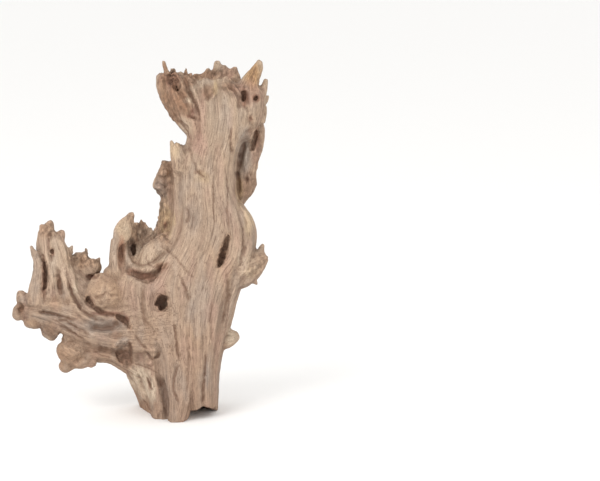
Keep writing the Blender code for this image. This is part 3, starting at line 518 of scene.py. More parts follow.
@dataclass
class Crown:
    """The torn crown: a rotted lobe on the left, a back wall and a horn on the right."""

    lobe: Rows = (
        (412, 19, 36, -18, 34), (424, 18, 38, -22, 36), (434, 14, 40, -23, 37), (442, 7, 40, -24, 38),
        (450, -2, 40, -24, 39), (464, -12, 40, -25, 40), (478, -18, 40, -25, 41), (492, -26, 38, -24, 41),
        (506, -29, 34, -22, 40), (518, -27, 21, -19, 38), (524, -24, 12, -16, 36),
    )
    back_wall: Rows = (
        (470, 20, 98, 18, 44), (500, 22, 96, 19, 43), (516, 27, 92, 20, 40),
    )
    right_horn: Rows = (
        (480, 88, 126, -12, 20), (494, 88, 124, -10, 19), (504, 89, 120, -8, 17), (513, 93, 122, -6, 15),
        (521, 101, 126, -4, 13), (530, 109, 129, -2, 11), (537, 115, 130, 0, 10), (543, 120, 128, 2, 8),
    )
    lobe_cavity: Rows = (
        (4, 560, 10, 22, 18), (3, 530, 9, 21, 17), (1, 510, 6, 18, 16), (2, 494, 2, 13, 13),
        (4, 482, 0, 7, 8),
    )
    crown_cavity: Rows = (
        (56, 560, 6, 32, 13), (56, 525, 5, 30, 12), (56, 505, 4, 27, 11), (56, 488, 3, 20, 9),
        (58, 476, 2, 10, 5),
    )

    def limbs(self) -> dict[str, Limb]:
        """The crown's limbs, by name."""
        rows = {"lobe": (self.lobe, 34), "back wall": (self.back_wall, 35), "horn": (self.right_horn, 36)}
        return {name: Limb(upright(drawn), seed, SPLIT) for name, (drawn, seed) in rows.items()}

    def hollows(self) -> list[Limb]:
        """What rot took out of the crown."""
        skin = Skin(square=2.2, wobble=0.06)
        return [Limb(self.lobe_cavity, 101, skin), Limb(self.crown_cavity, 102, skin)]


@dataclass
class Ear:
    """The hollow ear between burl and trunk, with the shells and shards inside it."""

    ear: Rows = (
        (190, -104, -4, -24, 42), (220, -103, -6, -32, 42), (243, -102, -8, -32, 42),
        (262, -101, -10, -28, 40), (276, -99, -14, -20, 38),
    )
    flap: Rows = (
        (-88, 212, -20, 7, 6), (-92, 226, -26, 7, 7), (-95, 242, -28, 6, 7), (-96, 258, -28, 5.5, 6),
        (-94, 271, -26, 5.5, 6), (-86, 279, -24, 14, 5.5), (-82, 290, -20, 15, 5),
        (-76, 300, -14, 12.5, 4.5), (-71, 309, -10, 8, 4), (-68, 317, -7, 4, 3),
    )
    ear_rim: Rows = (
        (-80, 278, 2, 4, 8), (-80, 264, -7, 4.5, 8), (-78, 248, -15, 5, 8), (-70, 235, -19, 5.5, 8),
        (-57, 229, -21, 6, 8), (-42, 231, -22, 6, 8), (-27, 239, -22, 6, 8), (-12, 252, -21, 6, 8),
    )
    ear_bowl: Rows = (
        (-10, 275, 0, 15, 14), (-27, 263, -5, 18, 15), (-39, 253, -8, 19.5, 14), (-46, 244, -11, 17, 12),
        (-49, 237, -14, 11, 9),
    )
    ear_cavity: Rows = (
        (-54, 340, 4, 36, 34), (-54, 300, 2, 36, 32), (-53, 282, -4, 36, 27), (-53, 270, -11, 37, 21),
        (-52, 258, -19, 37, 16), (-52, 247, -25, 36, 13), (-51, 237, -29, 33, 12),
        (-49, 227, -31, 27, 11), (-47, 219, -33, 18, 9), (-46, 213, -35, 8, 6),
    )
    grotto: Rows = (
        (-77, 74, -30, 6, 8), (-79, 86, -27, 11, 16), (-82, 98, -27, 14, 18), (-84, 110, -32, 12, 14),
        (-81, 121, -38, 7, 8),
    )
    ear_shards: Rows = (
        ((-60, 262, 22), (-64, 301, 18), 9, 6, 0.6), ((-70, 262, 12), (-67, 299, 8), 7, 6, 0.7),
        ((-53, 266, 24), (-56, 307, 22), 7, 5), ((-46, 266, 24), (-48, 303, 22), 7, 5),
        ((-38, 262, 24), (-42, 294, 22), 8, 5), ((-28, 262, 24), (-34, 288, 22), 9, 6),
        ((-72, 262, 18), (-72, 288, 16), 8, 5),
    )

    def limbs(self) -> dict[str, Limb]:
        """The ear's outer limb, by name."""
        return {"ear": Limb(upright(self.ear), 16)}

    def hollows(self) -> list[Limb]:
        """What is cut out of the ear and, below it, out of the branch's root."""
        skin = Skin(square=2.2, wobble=0.06)
        return [Limb(self.ear_cavity, 100, skin), Limb(self.grotto, 103, skin)]

    def inside(self) -> list[Limb]:
        """What stands inside the hollow."""
        shells = [Limb(self.ear_bowl, 52, Skin(level=False, square=2.0, wobble=0.04)),
                  Limb(self.ear_rim, 59, Skin(level=False, square=2.0, wobble=0.03)),
                  Limb(self.flap, 51, Skin(level=False, square=2.4, wobble=0.03))]
        return shells + [shard(*row) for row in self.ear_shards]


@dataclass
class Growths:
    """Knobs and splinters on the limbs, and the holes and slits in them."""

    knobs: Rows = (
        (-235, 188, -8, 11, 12, 12), (-241, 165, -10, 10, 13, 13), (-220, 154, -6, 15, 14, 15),
        (-194, 140, 0, 14, 16, 15), (-162, 109, -4, 23, 22, 22), (-170, 85, 0, 12, 10, 12),
        (-148, 90, -2, 16, 9, 16), (-131, 90, -6, 7, 8, 9), (-159, 130, -4, 17, 14, 18),
        (-28, 352, 8, 10, 9, 10), (-22, 376, 10, 9, 8, 10), (-134, 232, 0, 17, 16, 15),
        (-150, 246, 2, 14, 12, 12), (-127, 236, -2, 12, 11, 12), (-112, 196, -24, 30, 29, 22),
        (-92, 224, -8, 22, 14, 22), (58, 214, 44, 22, 26, 22), (14, 345, 34, 18, 40, 12),
        (30, 250, 40, 34, 60, 14), (-60, 190, 36, 40, 34, 14),
    )
    shards: Rows = (
        ((-11, 510, -6), (-20, 541, -10), 5, 5, 0.6), ((-4, 512, 22), (-5, 530, 22), 8, 8, 0.8),
        ((12, 508, 20), (13, 533, 20), 8, 8, 0.5), ((18, 500, -6), (20, 523, -4), 8, 6, 0.6),
        ((-22, 505, 8), (-25, 520, 12), 8, 9, 0.7), ((30, 500, 30), (31, 521, 30), 9, 7, 0.8),
        ((40, 504, 30), (42, 524, 32), 8, 6, 0.6), ((50, 506, 30), (46, 531, 32), 8, 6, 0.5),
        ((62, 508, 28), (60, 541, 30), 12, 8, 0.4), ((70, 506, 30), (67, 533, 32), 12, 8, 0.6),
        ((80, 506, 30), (77, 527, 32), 12, 8, 0.8), ((87, 502, 30), (87, 533, 30), 8, 7, 0.5),
        ((93, 495, 28), (91, 523, 28), 8, 7, 0.5), ((122, 480, 10), (133, 514, 14), 9, 8),
        ((120, 470, 16), (136, 490, 20), 8, 7), ((124, 452, 8), (132, 474, 12), 8, 8),
        ((-194, 278, -14), (-190, 303, -14), 11, 9, 0.6), ((-200, 276, -15), (-202, 298, -16), 9, 8, 0.8),
        ((-179, 268, -12), (-174, 289, -12), 9, 8, 0.7), ((-165, 252, -12), (-158, 268, -12), 6, 7),
        ((-155, 230, -10), (-148, 250, -10), 7, 7), ((-140, 240, 0), (-139, 264, 0), 7, 6),
        ((-124, 236, -2), (-118, 250, -2), 7, 7), ((110, 226, 0), (118, 208, -4), 9, 9, 0.3),
        ((120, 252, -4), (128, 269, -6), 7, 8, 0.4), ((104, 228, -6), (106, 213, -8), 9, 9, 0.4),
        ((-7, 408, -12), (-9, 424, -14), 4, 6, 0.5), ((4, 404, -8), (6, 418, -8), 5, 6, 0.4),
        ((-66, 82, 0), (-82, 89, -2), 9, 8), ((60, 222, 46), (72, 236, 76), 17, 15, 0.6),
        ((10, 120, 56), (4, 60, 84), 22, 16, 0.7), ((30, 40, 70), (42, 260, 44), 20, 14, 0.5),
    )
    holes: Rows = (
        (-25, 181, -18, 8.5, 11.5), (99, 490, -3, 4.5, 11), (117, 486, -2, 4.5, 5.5),
        (110, 456, -10, 2.5, 4.5), (-10, 515, -15, 11, 9), (0, 506, -15, 8, 9), (-12, 501, -18, 5, 8),
        (-178.5, 130, 30, 3, 6), (-189, 258, -20, 2.5, 4), (-191, 284, -20, 2.5, 4),
        (-136, 186, -22, 3.5, 5), (-237, 174, -16, 5, 8), (-67, 262, 14, 5, 12),
    )
    slits: Rows = (
        ((76, 284, -38, 1.2, 12), (72, 270, -38, 3.2, 17), (67, 254, -38, 5.0, 19),
         (63, 243, -38, 5.4, 19), (62, 235, -38, 2, 14)),
        ((-16, 305, -4, 1.5, 10), (-18, 299, -4, 3, 12), (-22, 292, -4, 1.5, 10)),
        ((-205, 252, -30, 1.5, 10), (-199, 236, -30, 2.6, 16), (-199, 214, -30, 3.0, 16),
         (-204, 191, -30, 1.2, 8)),
        ((-182, 224, -34, 1.2, 6), (-179, 208, -34, 2.4, 9), (-177, 196, -34, 1.2, 6)),
        ((-50, 67, -30, 1.2, 10), (-46, 58, -30, 2.2, 12), (-41, 49, -30, 1.2, 10)),
        ((118, 442, 14, 1.5, 8), (116, 426, 12, 3.6, 10), (112, 411, 8, 3, 10)),
        ((-139, 190, -34, 1.5, 8), (-134, 184, -32, 3.2, 12), (-128, 177, -34, 1.5, 8)),
        ((-94, 160, -36, 1.2, 7), (-84, 157, -35, 2.6, 10), (-76, 149, -36, 2.6, 9),
         (-73, 142, -38, 1.2, 7)),
    )
    hole_front: float = -75.0
    hole_mouth: tuple[float, float] = (1.15, 1.1)
    hole_floor: float = 0.7

    def holes_and_slits(self) -> list[Limb]:
        """Cutters that come in from the front."""
        made = []
        for i, (x, u, floor, half_x, half_u) in enumerate(self.holes):
            middle = (self.hole_front + floor) / 2
            wide, tall = self.hole_mouth
            rows = ((x, u, self.hole_front, half_x * wide, half_u * tall), (x, u, middle, half_x, half_u),
                    (x, u, floor, half_x * self.hole_floor, half_u * self.hole_floor))
            made.append(Limb(rows, 70 + i, Skin(level=False, square=2.4, wobble=0.2)))
        slit = Skin(level=False, square=2.0, wobble=0.03)
        return made + [Limb(rows, 90 + i, slit) for i, rows in enumerate(self.slits)]


def line_distance(points: np.ndarray, line: np.ndarray) -> tuple[np.ndarray, np.ndarray]:
    """Measures flat points against a line.

    Args:
        points: Across and height of each point.
        line: Across and height of the line's points.

    Returns:
        Each point's distance to the line, and the share of the line's length there.
    """
    best, share = np.full(len(points), 1e9), np.zeros(len(points))
    lengths = np.linalg.norm(np.diff(line, axis=0), axis=1)
    start = 0.0
    for a, b, length in zip(line, line[1:], lengths):
        way = (b - a) / length
        t = np.clip((points - a) @ way, 0, length)
        distance = np.linalg.norm(points - a - t[:, None] * way, axis=1)
        nearer = distance < best
        best[nearer] = distance[nearer]
        share[nearer] = ((start + t) / lengths.sum())[nearer]
        start += length
    return best, share


@dataclass
class Relief:
    """Ridges, cracks, dents and pits: what is pressed into the skin once it is grown.

    A mark says whether it sinks (-1) or rises (1), then its half width, its height and its line on the sheet.
    A spot is its place on the sheet, its half sizes in millimetres and its rise. A crack is its rise, below 0
    where it sinks, its half width and its line. A flute is its width, its length, how high its crests stand
    and how deep the valleys between them sink. Rotten and sound places are a place on the sheet, half sizes
    there and how rotten the wood is.
    """

    marks: Rows = (
        (-1, 6.5, 8, ((158, 378), (161.5, 389), (163.5, 402), (164.5, 426))),
        (-1, 3.5, 4.5, ((205.5, 356), (204.5, 375), (202.3, 386), (202.3, 410))),
        (-1, 3.5, 3, ((173, 322), (176, 343), (178, 362))),
        (-1, 3.5, 2.5, ((176, 366), (172.5, 380), (172, 392), (178, 406))),
        (1, 4, 3, ((146, 371), (152.5, 380), (156.5, 392), (159, 416))),
        (1, 3.5, 2.5, ((133, 374), (138, 388), (143, 401))),
        (-1, 3, 3, ((137, 376), (142, 390), (147, 405))),
        (-1, 3.5, 4, ((145, 353), (148, 358), (153, 360), (157, 357), (158.5, 353))),
        (1, 7, 5, ((145, 349), (151, 351), (156, 350))),
        (1, 5, 3.5, ((143, 362), (149, 365), (152, 361))),
        (-1, 4, 4, ((134, 335), (140, 345), (147, 351))),
        (-1, 3, 1.6, ((160, 245), (170.5, 253.5), (178, 261), (186, 271), (194, 279))),
        (-1, 4, 2, ((177.5, 273), (183, 283), (186, 294), (190, 302))),
        (1, 6, 1.5, ((165, 258), (176, 270), (181, 284), (181, 300))),
        (-1, 5, 3.5, ((143, 288), (141.5, 302), (143, 318), (146, 326))),
        (1, 5, 3, ((148, 290), (147, 304), (149, 320))),
        (-1, 4.5, 5, ((68, 285), (74, 299), (80.5, 310), (88, 316), (95, 320))),
        (1, 5, 4, ((72, 270), (73, 286), (79, 298), (86, 307), (97, 315), (110, 323))),
        (1, 6, 4, ((63, 270), (65, 288), (72, 305), (84, 317), (100, 327))),
        (-1, 5, 7, ((84, 302), (93, 309), (107, 314), (119, 317), (127, 321))),
        (-1, 4, 4, ((36, 311.5), (50, 313.5), (63, 317.5), (74, 321))),
        (-1, 4, 4, ((55, 320), (65, 321), (78, 329.5), (88, 335))),
        (-1, 4, 4, ((57, 325), (70, 333), (80.5, 340), (90, 348))),
        (1, 5, 3, ((24, 312), (45, 318), (66, 328), (84, 341))),
        (-1, 8, 7, ((89, 328), (101, 329), (112, 327), (119, 322))),
        (1, 7, 4, ((90, 338), (104, 340), (118, 342), (130, 342))),
        (-1, 7, 6, ((95, 350), (108, 352), (120, 356))),
        (-1, 4, 2.5, ((92, 297), (100, 298), (105.5, 293), (111, 296), (118, 295))),
        (1, 5, 2, ((94, 303), (101, 306), (109, 304))), (1, 5, 2, ((96, 286), (103, 283), (108, 287))),
        (-1, 4, 5, ((87, 276), (95, 277.5), (100, 272))), (-1, 5, 5, ((57, 268), (59, 284), (61, 298))),
        (1, 5, 3, ((51, 262), (52, 280), (50, 300))), (1, 4, 3, ((62, 240), (66, 262), (67, 284))),
        (-1, 4, 3, ((48, 232), (49, 250), (52, 262))),
        (-1, 4, 3, ((185, 78), (190, 92), (198, 108), (201, 122))),
        (1, 5, 4, ((190, 80), (196, 95), (203, 112), (204, 135))),
        (-1, 5, 5, ((176, 88), (184, 98), (190, 108))), (-1, 3, 3, ((188, 113), (192, 118), (198, 120))),
        (1, 4, 3, ((161, 95), (170, 112), (180, 126), (188, 136))),
        (-1, 3, 3, ((167, 106), (178, 120), (190, 130))), (1, 4, 3, ((214, 82), (218, 92), (211, 103))),
        (1, 4, 2.5, ((202, 84), (203, 96), (208, 104))),
        (-1, 5, 4, ((227, 86), (236, 92), (240, 100), (240, 112))),
        (-1, 4, 2.5, ((232, 128), (231, 141), (233, 155))),
        (-1, 9, 6, ((254, 127), (247, 140), (241, 155), (239, 172))),
        (-1, 4, 4, ((237.5, 174), (239, 186), (240, 204))),
        (1, 4, 3, ((247, 145), (245, 160), (246, 176))), (-1, 3, 2, ((196, 169), (200, 174), (205, 178))),
        (-1, 4, 1.5, ((190, 148), (193, 160), (198, 171))),
        (-1, 4, 3, ((187, 208), (189, 216), (186, 224))),
        (1, 5, 3, ((243, 208), (249, 222), (250, 242), (247, 258))),
        (-1, 4, 3, ((238, 212), (243, 228), (244, 248), (240, 266))),
        (-1, 4, 2, ((226, 270), (228, 285), (226, 305), (222, 325))),
        (1, 5, 3.5, ((236, 282), (231, 300), (226, 322), (222, 340))),
        (-1, 4, 1.5, ((212, 300), (210, 320), (212, 345))),
        (1, 6, 1.5, ((196, 300), (198, 330), (197, 360), (196, 400))),
        (-1, 4, 1.5, ((187, 330), (188, 360), (186, 395))),
        (1, 5, 2, ((213, 350), (212, 380), (212, 408))),
    )
    spots: Rows = (
        (161, 303, 24, 26, -5), (190, 270, 30, 60, 4), (52, 300, 30, 20, 4), (105, 295, 30, 26, 4),
        (225, 250, 14, 34, -3), (206, 92, 12, 14, -6), (209, 99, 7, 9, -4), (212, 200, 40, 60, 3),
        (115, 338, 20, 12, -5), (120, 355, 16, 14, -6), (248, 172, 14, 20, -3), (192, 222, 10, 22, -3),
        (174, 80, 16, 12, -5),
    )
    cracks: Rows = (
        (-1.0, 1.4, ((177.6, 273.7), (182.7, 282.9), (185.7, 293), (189, 303))),
        (-2.6, 2.0, ((122, 267), (130, 275), (141, 279), (152, 277), (162, 269), (168, 262))),
        (-1.2, 1.4, ((138, 262), (143, 252), (142, 244))),
        (-1.2, 1.4, ((132, 262), (143, 266), (153, 262), (160, 255))),
        (-4.8, 2.3, ((144.6, 378), (147, 383), (151, 392))),
        (-1.8, 1.5, ((131, 364), (138, 366), (145, 368.5), (152, 371.5), (157.5, 376))),
        (-2.4, 1.6, ((142, 402), (146, 408), (150.6, 414))),
        (-1.5, 1.5, ((173.6, 326), (175, 343), (177.4, 360.4))),
        (-2.6, 1.8, ((158.5, 381), (160, 390), (161.2, 401), (162.6, 416))),
        (-1.4, 1.5, ((125, 372), (130, 380), (133, 384))),
        (-1.8, 1.6, ((205.2, 352), (204.8, 368), (204, 380), (203, 395), (203, 404))),
        (-2.4, 1.8, ((38.4, 311.6), (50, 313.4), (62.5, 317), (72, 320))),
        (-2.2, 1.7, ((57, 320), (64.3, 320.5), (71, 324.6), (77.7, 329.5))),
        (-2.2, 1.7, ((57, 325), (66, 330), (73, 334), (80.4, 339.3))),
        (-2.0, 1.6, ((46, 318), (58, 323), (70, 331), (84, 342))),
        (-1.4, 1.5, ((106, 291.5), (103, 294.5), (98, 296), (93, 300))),
        (-1.2, 1.4, ((106, 292), (111, 291), (115, 287.5))),
        (-1.0, 1.3, ((105, 291), (104, 284.5), (107, 280))),
        (-1.0, 1.3, ((107, 294), (108, 301), (105, 308))),
        (-2.4, 1.8, ((94.6, 309), (107, 313.4), (119.6, 317), (126.8, 318.8))),
        (-2.0, 1.6, ((67.9, 284.8), (73, 297), (80.4, 309.8), (88, 315.5), (94.6, 318.8))),
        (-2.0, 1.6, ((194, 112), (190, 116), (193, 119), (198, 121))),
        (-2.0, 1.6, ((185, 75), (189, 86), (193, 98), (198, 108), (200, 118))),
        (-1.8, 1.6, ((232, 129), (231, 141), (231.5, 152))),
        (-1.8, 1.5, ((172, 116), (178, 122), (184, 126.5), (189, 133), (190, 140))),
        (-1.4, 1.4, ((257, 68), (253, 77), (250, 88))),
        (-1.0, 1.4, ((190, 148.7), (193, 160), (198, 171))),
        (-1.3, 1.5, ((196, 169), (200, 175), (205.5, 177))),
        (-2.2, 1.6, ((145.8, 354.6), (149, 359), (152.5, 360.4), (156.5, 358.5), (158.3, 355.6))),
        (-1.8, 1.6, ((146, 365), (149.7, 367.5), (153, 365.5))),
        (-1.8, 1.5, ((181.2, 282), (186, 290), (191.8, 299))),
        (-1.8, 1.5, ((177.4, 366), (173.6, 380.5), (171.7, 390), (177.4, 404))),
        (-2.6, 1.8, ((127, 340), (129.6, 348), (130.6, 357), (130.4, 366))),
        (-2.2, 1.6, ((112, 352), (117, 360), (122, 365.5), (131, 366.5))),
        (-1.8, 1.5, ((96.5, 345), (103, 350), (112, 352))),
        (-1.8, 1.5, ((92, 352), (101, 357), (110, 359))),
        (-1.6, 1.5, ((147, 253), (146, 259), (149, 265), (155, 268))),
        (-1.6, 1.5, ((151, 268), (158, 267.5), (165, 264))),
        (-1.5, 1.5, ((229.9, 289.6), (228.5, 305), (225.3, 327.8), (222, 350))),
        (2.5, 5.0, ((162, 235), (167, 245), (163, 254))),
        (4.0, 6.0, ((112, 348), (118, 344), (127, 342))),
        (-1.0, 1.4, ((60, 347), (66, 343), (75, 342))),
        (-1.0, 1.4, ((72, 349), (77, 354), (75, 361))),
        (-1.5, 1.5, ((66, 266), (67, 280), (72, 293))),
        (-1.5, 1.5, ((213, 182), (214, 196), (213, 210), (215, 226))),
        (-1.5, 1.5, ((226, 170), (228, 190), (227, 212), (230, 230))),
    )
    flutes: Rows = (
        (26.0, 220.0, 2.8, 1.0), (12.0, 150.0, 1.8, 0.7), (6.0, 110.0, 1.2, 0.5), (3.6, 80.0, 0.9, 0.4),
    )
    smoothed: dict[str, float] = field(default_factory=lambda: {
        "trunk": 0.36, "crown": 0.4, "shoulder": 0.3, "ear": 0.3, "heel": 0.45, "toe": 0.45, "sole": 0.45,
        "plate": 0.15, "lobe": 0.35, "left shard": 0.6, "right knob": 0.6, "low knob": 0.4})
    flute_sharpness: float = 0.8
    flute_seeds: tuple[int, ...] = (5, 8, 9, 12)
    least_share: float = 0.02
    fibre_reach: float = 5.0
    waver: float = 7.0
    waver_reach: float = 1.3
    # How much painted shade a sunk mark lays, and how deep a crack sinks before its painted shade is full.
    groove_shade: float = 0.35
    full_shade_sink: float = 2.0
    line_fade: float = 6.0
    line_end: float = 0.25
    roughness: float = 0.6
    rough_size: Row = (4.5, 4.5, 9.0)
    rot_lumps: Rows = ((8.0, 12.0, 2.2), (4.5, 9.0, 2.0), (2.8, 6.0, 1.2))
    rot_crest: float = 1.2
    rot_power: float = 0.7
    rot_sink: float = 0.5
    rot_reach: float = 8.0
    rot_full: float = 1.5
    rot_fade: float = 3.0
    place_outer: float = 1.3
    place_soft: float = 0.5
    sound: Rows = ((151, 258, 20, 17, 0.0), (122, 240, 8, 30, 0.0), (146, 385, 9, 16, 0.0))
    rotten: Rows = (
        (174, 82, 14, 9, 1.0), (190, 80, 8, 8, 0.8), (186, 99, 10, 16, 0.55), (211, 94, 6, 8, 0.5),
        (212, 76, 16, 5, 1.0), (231, 88, 10, 10, 0.8), (246, 97, 10, 13, 0.6), (233, 72, 10, 8, 0.8),
        (254, 80, 7, 13, 0.6),
        (256, 105, 8, 22, 0.4), (165, 178, 9, 24, 0.8), (258, 150, 5, 26, 0.7), (250, 186, 10, 16, 0.5),
        (51, 228, 13, 9, 0.9), (83, 258, 16, 10, 0.9), (145, 230, 12, 12, 0.6), (22, 306, 9, 14, 0.6),
        (48, 329, 12, 8, 0.6), (68, 354, 17, 17, 0.3), (122, 357, 9, 9, 0.3), (257, 268, 9, 16, 0.65),
        (34, 262, 7, 20, 0.5), (148, 412, 12, 9, 0.4), (233, 338, 8, 10, 0.25), (172, 105, 16, 22, 0.65),
    )

    def pressed(self, flat: np.ndarray) -> tuple[np.ndarray, np.ndarray]:
        """Works out the marks that are drawn on the sheet.

        Args:
            flat: Across and height of points that face the viewer.

        Returns:
            How far each point is pushed out, and how much painted shade the cracks and sunk marks lay on it,
            between 0 and 1.
        """
        height, crack = np.zeros(len(flat)), np.zeros(len(flat))
        spots = np.column_stack((flat, np.zeros(len(flat))))
        shift = np.column_stack((Noise(71)(spots / self.waver), Noise(72)(spots / self.waver)))
        flat = flat + shift * self.waver_reach
        # Sunk marks and cracks also lay painted shade, gathered in crack.
        drawn = [(math.copysign(amount, how), width, line, self.groove_shade)
                 for how, width, amount, line in self.marks]
        drawn += [(rise, width, line, min(1.0, -rise / self.full_shade_sink))
                  for rise, width, line in self.cracks]
        for rise, width, line, stain in drawn:
            line = SIGHT.from_sheet(line)
            reach = width * 2
            near = np.all((flat > line.min(axis=0) - reach) & (flat < line.max(axis=0) + reach), axis=1)
            if not near.any():
                continue
            distance, share = line_distance(flat[near], line)
            profile = np.clip(1 - distance / width, 0, 1)
            profile = profile * profile * (3 - 2 * profile)
            fade = np.clip(np.minimum(share, 1 - share) * self.line_fade + self.line_end, 0, 1)
            height[near] += rise * profile * fade
            if rise < 0:
                crack[near] = np.maximum(crack[near], stain * profile * fade)
        for x, y, half_x, half_u, amount in self.spots:
            centre = SIGHT.from_sheet([(x, y)])[0]
            radius = np.hypot((flat[:, 0] - centre[0]) / half_x, (flat[:, 1] - centre[1]) / half_u)
            height += amount * np.clip(1 - radius ** 2, 0, 1) ** 2
        return height, crack


